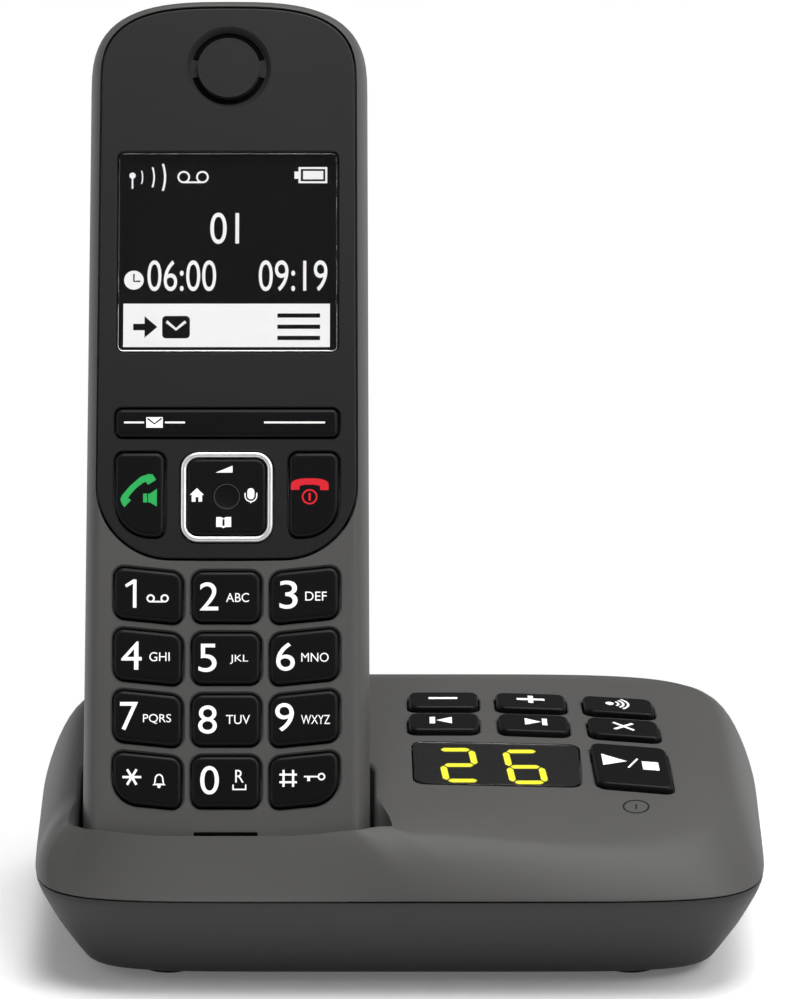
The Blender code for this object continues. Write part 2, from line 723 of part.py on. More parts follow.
def add_base_panel(upper):
    """Seven keys, the counter window and the digit module, and the holes they stand in."""
    keys = (
        ("volume_down_key", 0.0, BACK_ROW), ("volume_up_key", COLUMN_PITCH, BACK_ROW),
        ("page_key", 2 * COLUMN_PITCH, BACK_ROW), ("skip_back_key", 0.0, FRONT_ROW),
        ("skip_forward_key", COLUMN_PITCH, FRONT_ROW), ("delete_key", 2 * COLUMN_PITCH, FRONT_ROW),
        ("play_stop_key", 2 * COLUMN_PITCH, PLAY_ROW))
    for name, column, row in keys:
        size = (BASE_KEY_WIDTH, BASE_KEY_LENGTH)
        if name == "play_stop_key":
            size = (PLAY_KEY_WIDTH, PLAY_KEY_LENGTH)
        frame = panel_frame(name + "_axis", column, row, BASE)
        panel_slab(name, column, size, BASE_KEY_RADIUS, BASE_KEY_EDGE, (-BASE_KEY_SUNK, BASE_KEY_PROUD),
                   frame, KEY_BLACK)
        hole = (size[0] + 2 * SLIDE_GAP, size[1] + 2 * SLIDE_GAP)
        cutter = panel_slab(name + "_hole", column, hole, BASE_KEY_RADIUS + SLIDE_GAP, 0.0,
                            (-OVERRUN, OVERRUN), frame)
        boolean(upper, cutter)

    column = COUNTER_COLUMN_SHARE * COLUMN_PITCH
    frame = panel_frame("counter_frame", column, PLAY_ROW, BASE)
    panel_slab("base_display_window", column, (COUNTER_WIDTH, COUNTER_LENGTH), COUNTER_RADIUS, 0.0,
               (-COUNTER_THICKNESS, 0.0), frame, WINDOW_BLACK)
    hole = (COUNTER_WIDTH + 2 * SLIDE_GAP, COUNTER_LENGTH + 2 * SLIDE_GAP)
    boolean(upper, panel_slab("counter_hole", column, hole, COUNTER_RADIUS + SLIDE_GAP, 0.0,
                              (-OVERRUN, OVERRUN), frame))
    top = -COUNTER_THICKNESS - GAP
    size = (COUNTER_WIDTH - 2 * DIGIT_MARGIN, COUNTER_LENGTH - 2 * DIGIT_MARGIN, DIGIT_THICKNESS)
    module = box_shape(size, (0.0, 0.0, top - DIGIT_THICKNESS / 2))
    mesh_object("led_digit_module", module, frame, look=WINDOW_BLACK)
    add_base_mat()


def add_base_mat():
    """The rubber mat under the two key rows, and its strip under the play key."""
    half = BASE_KEY_WIDTH / 2
    left = LEFT_COLUMN - half
    right = panel_place(2 * COLUMN_PITCH, PLAY_ROW)[0] + PLAY_KEY_WIDTH / 2 + BASE_MAT_EDGE
    front = PLAY_ROW - PLAY_KEY_LENGTH
    back = BACK_ROW + BASE_KEY_LENGTH / 2
    notch_right = LEFT_COLUMN + 2 * COLUMN_PITCH - half - BASE_MAT_LAP
    notch_back = FRONT_ROW - BASE_KEY_LENGTH / 2 - GAP
    shape = bmesh.new()
    bmesh.ops.create_grid(shape, x_segments=1, y_segments=MAT_STEPS, size=1.0)
    bmesh.ops.scale(shape, vec=((right - left) / 2, (back - front) / 2, 1.0), verts=shape.verts)
    bmesh.ops.translate(shape, vec=((left + right) / 2, (back + front) / 2, 0.0), verts=shape.verts)
    for vertex in shape.verts:
        vertex.co.z = panel_height(vertex.co.x, vertex.co.y) - BASE_MAT_DEPTH
    mat = mesh_object("base_key_mat", shape, BASE, look=MAT_GREY)
    thickness = mat.modifiers.new("thickness", "SOLIDIFY")
    thickness.thickness = BASE_MAT_THICKNESS
    thickness.offset = -1.0
    notch = box_shape((notch_right - left + OVERRUN, notch_back - front + OVERRUN, CREST_HEIGHT),
                      ((notch_right + left - OVERRUN) / 2, (notch_back + front - OVERRUN) / 2, CREST_HEIGHT))
    boolean(mat, mesh_object("mat_notch", notch, BASE))
    right_screw = screw_places()[1]
    drill = [(BOSS_RADIUS + GAP, 0.0), (BOSS_RADIUS + GAP, CREST_HEIGHT)]
    boolean(mat, mesh_object("mat_drill", turned_shape(drill, SMALL_SIDES), BASE, (*right_screw, 0.0)))


def add_base_inside(lower):
    """Circuit board, loudspeaker, sockets, screws and feet."""
    left = PANEL_LEFT + BASE_BOARD_LEFT_MARGIN
    right = BASE_WIDTH / 2 - BASE_BOARD_RIGHT_MARGIN
    size = (right - left, BASE_DEPTH - 2 * BASE_BOARD_END_MARGIN, BASE_BOARD_THICKNESS)
    centre = ((left + right) / 2, 0.0, BASE_BOARD_HEIGHT + BASE_BOARD_THICKNESS / 2)
    mesh_object("base_circuit_board", box_shape(size, centre), BASE, look=BOARD_GREEN)

    floor = FOOT_HEIGHT + FLOOR_WALL
    profile = [(SPEAKER_RADIUS, 0.0), (SPEAKER_RADIUS, SPEAKER_RIM), (SPEAKER_MAGNET_RADIUS, SPEAKER_RIM),
               (SPEAKER_MAGNET_RADIUS, SPEAKER_THICKNESS)]
    mesh_object("base_loudspeaker", turned_shape(profile, ROUND_SIDES), BASE,
                (SPEAKER_OFFSET, SPEAKER_BACK, floor + GAP), SPEAKER_GREY)
    slots = []
    for number in range(SPEAKER_SLOT_COUNT):
        across = SPEAKER_OFFSET + (number - (SPEAKER_SLOT_COUNT - 1) / 2) * SPEAKER_SLOT_PITCH
        size = (SPEAKER_SLOT_WIDTH, SPEAKER_SLOT_LENGTH, 2 * floor)
        slots.append(box_shape(size, (across, SPEAKER_BACK, floor)))
    boolean(lower, mesh_object("speaker_slots", merge_shapes(slots), BASE))

    for name, across in (("line_socket", LINE_SOCKET_OFFSET), ("power_socket", POWER_SOCKET_OFFSET)):
        middle = (across, SOCKET_FACE_BACK - SOCKET_LENGTH / 2, SOCKET_BOTTOM + SOCKET_HEIGHT / 2)
        socket = mesh_object(name, box_shape((SOCKET_WIDTH, SOCKET_LENGTH, SOCKET_HEIGHT), middle), BASE,
                             look=SOCKET_BLACK)
        throat = box_shape((JACK_WIDTH, 2 * JACK_LENGTH, JACK_HEIGHT), (across, SOCKET_FACE_BACK, middle[2]))
        boolean(socket, mesh_object(name + "_throat", throat, BASE))
        opening = box_shape((SOCKET_WIDTH + 2 * GAP, BASE_DEPTH, SOCKET_HEIGHT + 2 * GAP),
                            (across, SOCKET_FACE_BACK - SOCKET_LENGTH + BASE_DEPTH / 2, middle[2]))
        boolean(lower, mesh_object(name + "_opening", opening, BASE))

    seat = floor + GAP
    for name, place in zip(("base_screw_left", "base_screw_right"), screw_places()):
        under = FOOT_HEIGHT + SCREW_HEAD_HEIGHT
        profile = [(SCREW_HEAD_RADIUS, FOOT_HEIGHT), (SCREW_HEAD_RADIUS, under), (SCREW_RADIUS, under),
                   (SCREW_RADIUS, under + SCREW_LENGTH - SCREW_HEAD_HEIGHT)]
        mesh_object(name, turned_shape(profile, SMALL_SIDES), BASE, (*place, 0.0), STEEL)
        sink = [(SCREW_HEAD_RADIUS + GAP, 0.0), (SCREW_HEAD_RADIUS + GAP, under + GAP),
                (SCREW_RADIUS + GAP, under + GAP), (SCREW_RADIUS + GAP, seat + GAP)]
        boolean(lower, mesh_object(name + "_sink", turned_shape(sink, SMALL_SIDES), BASE, (*place, 0.0)))

    for end, back in (("front", -FOOT_BACK), ("back", FOOT_BACK)):
        for side, across in (("left", -FOOT_OFFSET), ("right", FOOT_OFFSET)):
            profile = [(FOOT_RADIUS - FOOT_EDGE, 0.0), (FOOT_RADIUS, FOOT_EDGE),
                       (FOOT_RADIUS, FOOT_HEIGHT - GAP)]
            mesh_object(f"foot_{end}_{side}", turned_shape(profile, ROUND_SIDES), BASE, (across, back, 0.0),
                        RUBBER_BLACK)


def add_charging_contacts(upper):
    """Two sprung pins that stand through the well's floor under the handset's pads."""
    for side, offset in (("left", -PAD_OFFSET), ("right", PAD_OFFSET)):
        name = "charging_contact_" + side
        frame = empty(name + "_axis", (offset, PAD_DEPTH, PAD_PLACE - GAP), CRADLE)
        profile = [(CONTACT_RADIUS, -CONTACT_LENGTH), (CONTACT_RADIUS, -CONTACT_TIP_RADIUS),
                   (CONTACT_TIP_RADIUS, 0.0)]
        mesh_object(name, turned_shape(profile, SMALL_SIDES), frame, look=GOLD)
        hole = [(CONTACT_RADIUS + SLIDE_GAP, -2 * CONTACT_LENGTH), (CONTACT_RADIUS + SLIDE_GAP, 0.0)]
        boolean(upper, mesh_object(name + "_hole", turned_shape(hole, SMALL_SIDES), frame))


def fascia_half(place):
    """Half the fascia's width at a place above the handset's foot."""
    return half_width(place) - FASCIA_SIDE_MARGIN


def fascia_outline(inset):
    """Front view of the fascia at an inset, from the middle of its foot."""
    half = HANDSET_WIDTH / 2 - FASCIA_SIDE_MARGIN - inset
    radius = FASCIA_FOOT_RADIUS - inset
    foot = FASCIA_FOOT + inset
    arch = FASCIA_ARCH * half / (half + inset)
    high = HANDSET_LENGTH - FASCIA_TOP_MARGIN - inset - arch
    right = [(0.0, foot)]
    for u, v in corner_arc((half - radius, foot + radius), radius, -math.pi / 2, CORNER_STEPS):
        right.append((u, v + FASCIA_BOW * (u / half) ** 2))
    for angle in even_angles(ARCH_STEPS):
        point = superellipse_point(half, arch, HANDSET_TOP_EXPONENT, angle)
        right.append((point[0], high + point[1]))
    right = [(u * (fascia_half(v) - inset) / half, v) for u, v in right]
    left = [(-u, v) for u, v in reversed(right[1:-1])]
    return right + left


def rear_core(name, sunk):
    """A solid that fills the rear shell up to a depth below its back."""
    skin = handset_skin(sunk, PARTING_DEPTH + GAP, lambda v: rear_depth(v) - sunk, REAR_ROUND, 1.0)
    start = [(u, v, BAY_FLOOR_DEPTH - BAY_WALL) for u, v in handset_outline(2 * HANDSET_WALL)]
    return mesh_object(name, loft_shape(upright(skin[::-1] + [start]), crowned=True), HANDSET)


def rear_skin_shape():
    """The rear shell as moulded: its back skin and its sides, open at the parting."""
    rim = PARTING_DEPTH + GAP
    outer = handset_skin(0.0, rim, rear_depth, REAR_ROUND, 1.0)
    inner = handset_skin(HANDSET_WALL, rim, lambda v: rear_depth(v) - HANDSET_WALL, REAR_ROUND, 1.0)
    return loft_shape(upright(outer[::-1] + inner), crowned=True)


def add_handset_rear():
    """Rear shell with its battery bay, the bay's door on its hinge, and two cells."""
    rear = mesh_object("handset_rear_shell", rear_skin_shape(), HANDSET, look=SHELL_GREY)
    block = box_shape((DOOR_WIDTH + 2 * BAY_WALL, WAIST_THICKNESS, DOOR_LENGTH + 2 * BAY_WALL),
                      (0.0, BAY_FLOOR_DEPTH + WAIST_THICKNESS / 2, DOOR_PLACE))
    block = mesh_object("bay_block", block, HANDSET)
    boolean(block, rear_core("bay_core", HANDSET_WALL / 2), "INTERSECT")
    boolean(rear, block, "UNION")

    def door_prism(name, grow):
        radii = [DOOR_RADIUS + grow] * 4
        outline = rounded_outline(DOOR_WIDTH + 2 * grow, DOOR_LENGTH + 2 * grow, radii, (0.0, DOOR_PLACE))
        levels = (BAY_FLOOR_DEPTH, BAY_FLOOR_DEPTH + WAIST_THICKNESS)
        return mesh_object(name, loft_shape(upright(plain_rings(outline, *levels))), HANDSET)

    recess = door_prism("door_recess", GAP)
    boolean(recess, rear_core("door_seat", HANDSET_WALL + GAP))
    boolean(rear, recess)
    bay_front = BAY_FLOOR_DEPTH + BAY_WALL
    bay = box_shape((BAY_WIDTH, WAIST_THICKNESS, BAY_LENGTH),
                    (0.0, bay_front + WAIST_THICKNESS / 2, DOOR_PLACE))
    boolean(rear, mesh_object("cell_bay", bay, HANDSET))

    slots = []
    for number in range(RINGER_SLOT_COUNT):
        place = RINGER_PLACE + (number - (RINGER_SLOT_COUNT - 1) / 2) * RINGER_SLOT_PITCH
        size = (RINGER_SLOT_LENGTH, PARTING_DEPTH, RINGER_SLOT_WIDTH)
        slots.append(box_shape(size, (0.0, rear_depth(place), place)))
    boolean(rear, mesh_object("ringer_slots", merge_shapes(slots), HANDSET))
    pad_slots = []
    for side in (-1, 1):
        size = (PAD_WIDTH + 2 * GAP, PAD_LENGTH + 2 * GAP, 4 * HANDSET_WALL)
        pad_slots.append(box_shape(size, (side * PAD_OFFSET, PAD_DEPTH, 0.0)))
    boolean(rear, mesh_object("pad_slots", merge_shapes(pad_slots), HANDSET))

    hinge = empty("battery_door_axis", (0.0, rear_depth(DOOR_TOP), DOOR_TOP), HANDSET)
    door = mesh_object("battery_door", rear_skin_shape(), hinge, look=SHELL_GREY)
    door.data.transform(Matrix.Translation((0.0, -rear_depth(DOOR_TOP), -DOOR_TOP)))
    boolean(door, door_prism("door_edge", 0.0), "INTERSECT")

    cell_depth = bay_front + GAP + CELL_RADIUS
    for side, name in ((-1, "battery_cell_left"), (1, "battery_cell_right")):
        across = side * (CELL_RADIUS + GAP / 2)
        profile = [(CELL_RADIUS, 0.0), (CELL_RADIUS, CELL_LENGTH), (CELL_NUB_RADIUS, CELL_LENGTH),
                   (CELL_NUB_RADIUS, CELL_LENGTH + CELL_NUB_LENGTH)]
        mesh_object(name, turned_shape(profile, SMALL_SIDES), HANDSET,
                    (across, cell_depth, DOOR_PLACE - BAY_LENGTH / 2 + GAP), CELL_GREEN)


def keypad_places():
    """Name, column, row, and corner radii of the twelve keys, from the bottom row up."""
    names = (("key_star", "key_0", "key_hash"), ("key_7", "key_8", "key_9"),
             ("key_4", "key_5", "key_6"), ("key_1", "key_2", "key_3"))
    places = []
    for row, row_names in enumerate(names):
        for column, name in zip((-1, 0, 1), row_names):
            radii = [KEY_RADIUS] * 4
            if name == "key_star":
                radii[3] = KEY_WIDE_RADIUS
            if name == "key_hash":
                radii[0] = KEY_WIDE_RADIUS
            places.append((name, column, row, radii))
    return places


def keypad_outline(column, radii, grow):
    """Front view of a keypad key about its own middle; the outer columns slant up outwards."""
    def slant(u, v):
        return u, v + KEY_SLANT * column * u / (KEY_WIDTH / 2) + KEY_SLANT / 2 * abs(column)

    grown = [radius + grow for radius in radii]
    return rounded_outline(KEY_WIDTH + 2 * grow, KEY_HEIGHT + 2 * grow, grown, shift=slant)


def handset_slab(name, outline, levels, edge=0.0, frame=None, look=None):
    """A slab across the handset between two depths."""
    rings = slab_rings(outline, edge, *levels) if edge else plain_rings(outline, *levels)
    return mesh_object(name, loft_shape(upright(rings)), frame or HANDSET, look=look)


def add_keypad(front):
    """Twelve keys, each in its own hole of the front shell."""
    for name, column, row, radii in keypad_places():
        across = column * KEY_PITCH_ACROSS
        up = KEY_FIRST_ROW + row * KEY_PITCH_UP
        frame = empty(name + "_axis", (across, 0.0, up), HANDSET)
        handset_slab(name, keypad_outline(column, radii, 0.0), (-KEY_PROUD, KEY_SUNK), KEY_EDGE, frame,
                     KEY_BLACK)
        hole = handset_slab(name + "_hole", keypad_outline(column, radii, SLIDE_GAP), (-OVERRUN, OVERRUN),
                            frame=frame)
        boolean(front, hole)


def earpiece_slots():
    """Cutter for the ring slot in front of the earpiece, broken by two bridges."""
    shapes = []
    outer = EARPIECE_SLOT_RADIUS
    inner = EARPIECE_SLOT_RADIUS - EARPIECE_SLOT_WIDTH
    gap_angle = EARPIECE_BRIDGE / 2 / inner
    span = math.pi - 2 * gap_angle
    for turn in (0.0, math.pi):
        points = []
        for step in range(SMALL_SIDES + 1):
            angle = turn + gap_angle + span * step / SMALL_SIDES
            points.append((outer * math.cos(angle), outer * math.sin(angle)))
        for step in range(SMALL_SIDES, -1, -1):
            angle = turn + gap_angle + span * step / SMALL_SIDES
            points.append((inner * math.cos(angle), inner * math.sin(angle)))
        shape = bmesh.new()
        count = len(points)
        rings = [[shape.verts.new((u, depth, v + EARPIECE_PLACE)) for u, v in points]
                 for depth in (-OVERRUN, OVERRUN)]
        for i in range(count):
            j = (i + 1) % count
            shape.faces.new((rings[0][i], rings[0][j], rings[1][j], rings[1][i]))
        for ring in rings:
            for i in range(SMALL_SIDES):
                shape.faces.new((ring[i], ring[i + 1], ring[count - i - 2], ring[count - i - 1]))
        shapes.append(shape)
    return mesh_object("earpiece_slots", merge_shapes(shapes), HANDSET)


def add_fascia(front):
    """Fascia with its window, softkey rocker, call keys and four-way key."""
    pocket = handset_slab("fascia_pocket", lambda inset: fascia_outline(inset - GAP),
                          (-OVERRUN, FASCIA_POCKET))
    boolean(front, pocket)
    back = FASCIA_THICKNESS - FASCIA_PROUD
    fascia = handset_slab("handset_fascia", fascia_outline, (-FASCIA_PROUD, back), FASCIA_PROUD,
                          look=FASCIA_BLACK)
    through = (-OVERRUN, OVERRUN)

    def opening(name, width, height, radii, across, up, grow):
        grown = [radius + grow for radius in radii]
        outline = rounded_outline(width + 2 * grow, height + 2 * grow, grown, (across, up))
        boolean(fascia, handset_slab(name, outline, through))

    def window_slab(name, width, height, radius, levels, look):
        outline = rounded_outline(width, height, [radius] * 4, (0.0, WINDOW_PLACE))
        return handset_slab(name, outline, levels, look=look)

    window_width = 2 * (fascia_half(WINDOW_PLACE) - WINDOW_SIDE_MARGIN)
    opening("window_opening", window_width, WINDOW_HEIGHT, [WINDOW_RADIUS] * 4, 0.0, WINDOW_PLACE, GAP)
    window_back = WINDOW_THICKNESS - FASCIA_PROUD
    window_slab("handset_display_window", window_width, WINDOW_HEIGHT, WINDOW_RADIUS,
                (-FASCIA_PROUD, window_back), WINDOW_BLACK)
    lcd_front = max(window_back, back) + GAP
    window_slab("handset_lcd", window_width + 2 * LCD_MARGIN, WINDOW_HEIGHT + 2 * LCD_MARGIN, WINDOW_RADIUS,
                (lcd_front, lcd_front + LCD_THICKNESS), LCD_BLACK)
    boolean(fascia, earpiece_slots())

    radii = [SOFTKEY_RADIUS] * 4
    softkey_width = 2 * (fascia_half(SOFTKEY_PLACE) - SOFTKEY_SIDE_MARGIN)
    opening("softkey_opening", softkey_width, SOFTKEY_HEIGHT, radii, 0.0, SOFTKEY_PLACE, SLIDE_GAP)
    frame = empty("softkey_bar_axis", (0.0, KEY_SUNK, SOFTKEY_PLACE), HANDSET)
    outline = rounded_outline(softkey_width, SOFTKEY_HEIGHT, radii)
    handset_slab("softkey_bar", outline, (-KEY_PROUD - KEY_SUNK, 0.0), KEY_EDGE, frame, KEY_BLACK)

    call_key_offset = fascia_half(CALL_KEY_PLACE) - CALL_KEY_SIDE_MARGIN - CALL_KEY_WIDTH / 2
    for side, name in ((-1, "talk_key"), (1, "end_key")):
        radii = [CALL_KEY_RADIUS] * 4
        radii[3 if side < 0 else 0] = CALL_KEY_OUTER_RADIUS
        across = side * call_key_offset
        opening(name + "_opening", CALL_KEY_WIDTH, CALL_KEY_HEIGHT, radii, across, CALL_KEY_PLACE, SLIDE_GAP)
        frame = empty(name + "_axis", (across, 0.0, CALL_KEY_PLACE), HANDSET)
        outline = rounded_outline(CALL_KEY_WIDTH, CALL_KEY_HEIGHT, radii)
        handset_slab(name, outline, (-KEY_PROUD, KEY_SUNK), KEY_EDGE, frame, KEY_BLACK)
    add_nav(opening, 2 * (call_key_offset - CALL_KEY_WIDTH / 2 - NAV_SIDE_GAP))


def add_nav(opening, width):
    """Four-way key: a pad in its bright ring, on a gimbal that tilts the other way."""
    radii = [NAV_RADIUS] * 4
    opening("nav_opening", width, NAV_HEIGHT, radii, 0.0, NAV_PLACE, SLIDE_GAP)
    pad_back = KEY_SUNK - NAV_GIMBAL_THICKNESS + NAV_GIMBAL_GAP
    frame = empty("nav_axis", (0.0, pad_back, NAV_PLACE), HANDSET)
    front = -KEY_PROUD - pad_back

    def nav_outline(sunk):
        return rounded_outline(width - 2 * sunk, NAV_HEIGHT - 2 * sunk, [NAV_RADIUS - sunk] * 4,
                               steps=NAV_CORNER_STEPS)

    ring = handset_slab("nav_ring", nav_outline(0.0), (front, 0.0), KEY_EDGE / 2, frame, CHROME)
    boolean(ring, handset_slab("nav_bore", nav_outline(NAV_RING_WIDTH), (-OVERRUN, OVERRUN), frame=frame))
    handset_slab("nav_pad", nav_outline(NAV_RING_WIDTH + GAP), (front, 0.0), KEY_EDGE, frame, KEY_BLACK)
    gimbal = [(NAV_GIMBAL_RADIUS, GAP), (NAV_GIMBAL_RADIUS, GAP + NAV_GIMBAL_THICKNESS)]
    plate = mesh_object("nav_gimbal", turned_shape(gimbal, SMALL_SIDES), frame, look=STEEL)
    plate.rotation_euler = (-math.pi / 2, 0.0, 0.0)


def add_handset_inside():
    """Key mat, circuit board, earpiece, ringer, microphone and charging pads."""
    mat_foot = MICROPHONE_PLACE + MICROPHONE_RADIUS + GAP
    mat_top = SOFTKEY_PLACE + SOFTKEY_HEIGHT

    def sheet(name, top, levels, look):
        room = min(half_width(mat_foot), half_width(top)) - HANDSET_WALL - FACE_ROUND
        middle = (0.0, (top + mat_foot) / 2)
        outline = rounded_outline(2 * room, top - mat_foot, [KEY_WIDE_RADIUS] * 4, middle)
        handset_slab(name, outline, levels, look=look)

    sheet("handset_key_mat", mat_top, (MAT_DEPTH, MAT_DEPTH + MAT_THICKNESS), MAT_GREY)
    board_top = EARPIECE_PLACE - EARPIECE_RADIUS - HANDSET_WALL
    board_front = MAT_DEPTH + MAT_THICKNESS + GAP
    sheet("handset_circuit_board", board_top, (board_front, board_front + BOARD_THICKNESS), BOARD_GREEN)

    def disc(name, radius, thickness, depth, place, look):
        profile = [(radius, 0.0), (radius, thickness)]
        piece = mesh_object(name, turned_shape(profile, ROUND_SIDES), HANDSET, (0.0, depth, place), look)
        piece.rotation_euler = (-math.pi / 2, 0.0, 0.0)

    disc("handset_earpiece", EARPIECE_RADIUS, EARPIECE_THICKNESS, FASCIA_THICKNESS - FASCIA_PROUD + GAP,
         EARPIECE_PLACE, SPEAKER_GREY)
    disc("handset_microphone", MICROPHONE_RADIUS, MICROPHONE_THICKNESS, HANDSET_WALL + GAP,
         MICROPHONE_PLACE, SPEAKER_GREY)
    ringer_back = rear_depth(RINGER_PLACE + RINGER_RADIUS) - HANDSET_WALL - GAP
    disc("handset_ringer", RINGER_RADIUS, RINGER_THICKNESS, ringer_back - RINGER_THICKNESS, RINGER_PLACE,
         SPEAKER_GREY)
    for side, name in ((-1, "handset_charge_pad_left"), (1, "handset_charge_pad_right")):
        centre = (side * PAD_OFFSET, PAD_DEPTH, PAD_PLACE + PAD_THICKNESS / 2)
        mesh_object(name, box_shape((PAD_WIDTH, PAD_LENGTH, PAD_THICKNESS), centre), HANDSET, look=GOLD)


def add_handset_front():
    """Front shell, with the keys, the fascia and the microphone slot cut into it."""
    outer = handset_skin(0.0, PARTING_DEPTH, lambda v: 0.0, FACE_ROUND, 1.0)
    inner = handset_skin(HANDSET_WALL, PARTING_DEPTH, lambda v: HANDSET_WALL, FACE_ROUND, 1.0)
    front = mesh_object("handset_front_shell", loft_shape(upright(outer[::-1] + inner)), HANDSET,
                        look=SHELL_GREY)
    add_keypad(front)
    add_fascia(front)
    size = (MICROPHONE_SLIT_WIDTH, 2 * OVERRUN, MICROPHONE_SLIT_HEIGHT)
    slit = box_shape(size, (0.0, 0.0, MICROPHONE_PLACE))
    boolean(front, mesh_object("microphone_slit", slit, HANDSET))


def centre_over_footprint(frame):
    """Move the whole telephone so that its middle lies over the origin."""
    bpy.context.view_layer.update()
    depsgraph = bpy.context.evaluated_depsgraph_get()
    places = []
    for piece in PART.objects:
        if piece.type != "MESH":
            continue
        shown = piece.evaluated_get(depsgraph)
        places += [(shown.matrix_world @ vertex.co).y for vertex in shown.data.vertices]
    frame.location.y -= (min(places) + max(places)) / 2


BASE = empty("base_frame", (0.0, 0.0, 0.0))
CRADLE = empty("cradle_frame", (HANDSET_OFFSET, HANDSET_FOOT_FRONT, HANDSET_FOOT_HEIGHT), BASE, -LEAN_ANGLE)
HANDSET = empty("handset_frame", (0.0, 0.0, 0.0), CRADLE)
upper_shell, lower_shell = add_base_shells()
add_base_panel(upper_shell)
add_charging_contacts(upper_shell)
add_base_inside(lower_shell)
add_handset_front()
add_handset_rear()
add_handset_inside()
centre_over_footprint(BASE)
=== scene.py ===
# %% [markdown]
# # A cordless telephone and the answering machine under it
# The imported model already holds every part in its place, in metres, with the floor at height 0. This lesson
# dresses it: it sets up the photographer's table, writes the finishes, and remodels the parts whose forms
# are too coarse for a close look. A part that already has the right shape only gets a finish.

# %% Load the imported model
import json
import math

import bmesh
import bpy
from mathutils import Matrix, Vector

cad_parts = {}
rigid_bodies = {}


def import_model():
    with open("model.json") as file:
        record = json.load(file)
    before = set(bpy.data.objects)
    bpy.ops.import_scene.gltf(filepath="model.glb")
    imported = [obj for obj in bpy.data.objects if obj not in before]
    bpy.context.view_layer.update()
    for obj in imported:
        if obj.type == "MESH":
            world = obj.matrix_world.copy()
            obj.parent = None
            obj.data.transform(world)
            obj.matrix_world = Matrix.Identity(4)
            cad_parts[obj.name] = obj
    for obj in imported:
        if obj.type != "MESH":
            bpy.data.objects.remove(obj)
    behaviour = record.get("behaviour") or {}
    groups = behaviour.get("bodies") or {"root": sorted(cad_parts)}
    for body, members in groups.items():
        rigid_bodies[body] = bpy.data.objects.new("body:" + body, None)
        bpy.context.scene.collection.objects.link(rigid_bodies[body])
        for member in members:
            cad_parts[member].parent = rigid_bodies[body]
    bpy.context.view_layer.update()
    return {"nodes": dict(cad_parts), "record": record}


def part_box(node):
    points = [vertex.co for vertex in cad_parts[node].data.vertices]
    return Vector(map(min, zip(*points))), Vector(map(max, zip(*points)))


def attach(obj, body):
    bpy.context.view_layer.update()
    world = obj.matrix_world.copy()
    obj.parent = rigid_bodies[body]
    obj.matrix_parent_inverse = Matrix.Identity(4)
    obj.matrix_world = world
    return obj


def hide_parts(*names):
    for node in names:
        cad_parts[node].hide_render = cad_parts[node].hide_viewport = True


for leftover in list(bpy.data.objects):
    bpy.data.objects.remove(leftover)
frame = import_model()
bpy.context.scene.view_settings.view_transform = "Standard"


# %% [markdown]
# ## Working by hand from code
# An operator acts on everything that is selected, so each step here first lets go of everything and then
# takes hold of what it means to change. These small helpers are the hand that picks pieces up.

# %% Selection helpers
def release():
    """Leave edit mode and let go of everything."""
    if bpy.context.object and bpy.context.object.mode != "OBJECT":
        bpy.ops.object.mode_set(mode="OBJECT")
    bpy.ops.object.select_all(action="DESELECT")


def pick(*pieces):
    """Select these pieces, the first of them active."""
    release()
    for piece in pieces:
        piece.select_set(True)
    bpy.context.view_layer.objects.active = pieces[0]


def named(piece, name):
    """Name a piece and its mesh."""
    piece.name = name
    piece.data.name = name
    return piece


def face_outwards(piece, weld=0.0):
    """Weld the points that lie closer than a distance, and turn every face outwards."""
    pick(piece)
    bpy.ops.object.mode_set(mode="EDIT")
    bpy.ops.mesh.select_all(action="SELECT")
    if weld:
        bpy.ops.mesh.remove_doubles(threshold=weld)
    bpy.ops.mesh.normals_make_consistent(inside=False)
    bpy.ops.object.mode_set(mode="OBJECT")
    return piece


print("helpers ready")

# %% [markdown]
# ## The camera
# The photograph was taken from about a metre and a half away with a long lens, almost straight in front of the
# middle and from above, tilted down by 16 degrees. A long lens keeps the handset's sides nearly parallel.

# %% Camera
CAMERA_PLACE = (-0.000733, -1.567021, 0.52565)
CAMERA_PITCH = 16.0
CAMERA_LENS = 338.45
CAMERA_SIGHT = 20.0

bpy.ops.object.camera_add(location=CAMERA_PLACE, rotation=(math.radians(90.0 - CAMERA_PITCH), 0.0, 0.0))
camera = bpy.context.object
camera.data.lens = CAMERA_LENS
camera.data.clip_end = CAMERA_SIGHT
bpy.context.scene.camera = camera
print("camera lens", CAMERA_LENS, "mm")


# %% [markdown]
# ## Shader arithmetic
# A shader is a graph of nodes. Writing it out node by node hides what it computes, so this class wraps one
# output socket and lets Python's own operators add the Math nodes: `grain * 0.2 + 0.4` reads as it works.

# %% A socket that can be added and multiplied
class Wire:
    """One output of a node, with arithmetic."""

    def __init__(self, tree, socket):
        self.tree, self.socket = tree, socket

    def maths(self, operation, first, second):
        return add_node(self.tree, "Math", {0: first, 1: second}, operation=operation)

    def __add__(self, other):
        return self.maths("ADD", self, other)

    def __rsub__(self, other):
        return self.maths("SUBTRACT", other, self)

    def __mul__(self, other):
        return self.maths("MULTIPLY", self, other)

    __radd__ = __add__
    __rmul__ = __mul__


def fill(tree, slot, value):
    """Give a socket a value, or link it."""
    if isinstance(value, Wire):
        tree.links.new(value.socket, slot)
    else:
        slot.default_value = value


def add_node(tree, kind, values, output=0, **settings):
    """Any shader node: its kind, its sockets' values or links, the output that is wanted, and its settings."""
    made = tree.nodes.new("ShaderNode" + kind)
    for setting, value in settings.items():
        setattr(made, setting, value)
    for socket, value in values.items():
        fill(tree, made.inputs[socket], value)
    return Wire(tree, made.outputs[output])


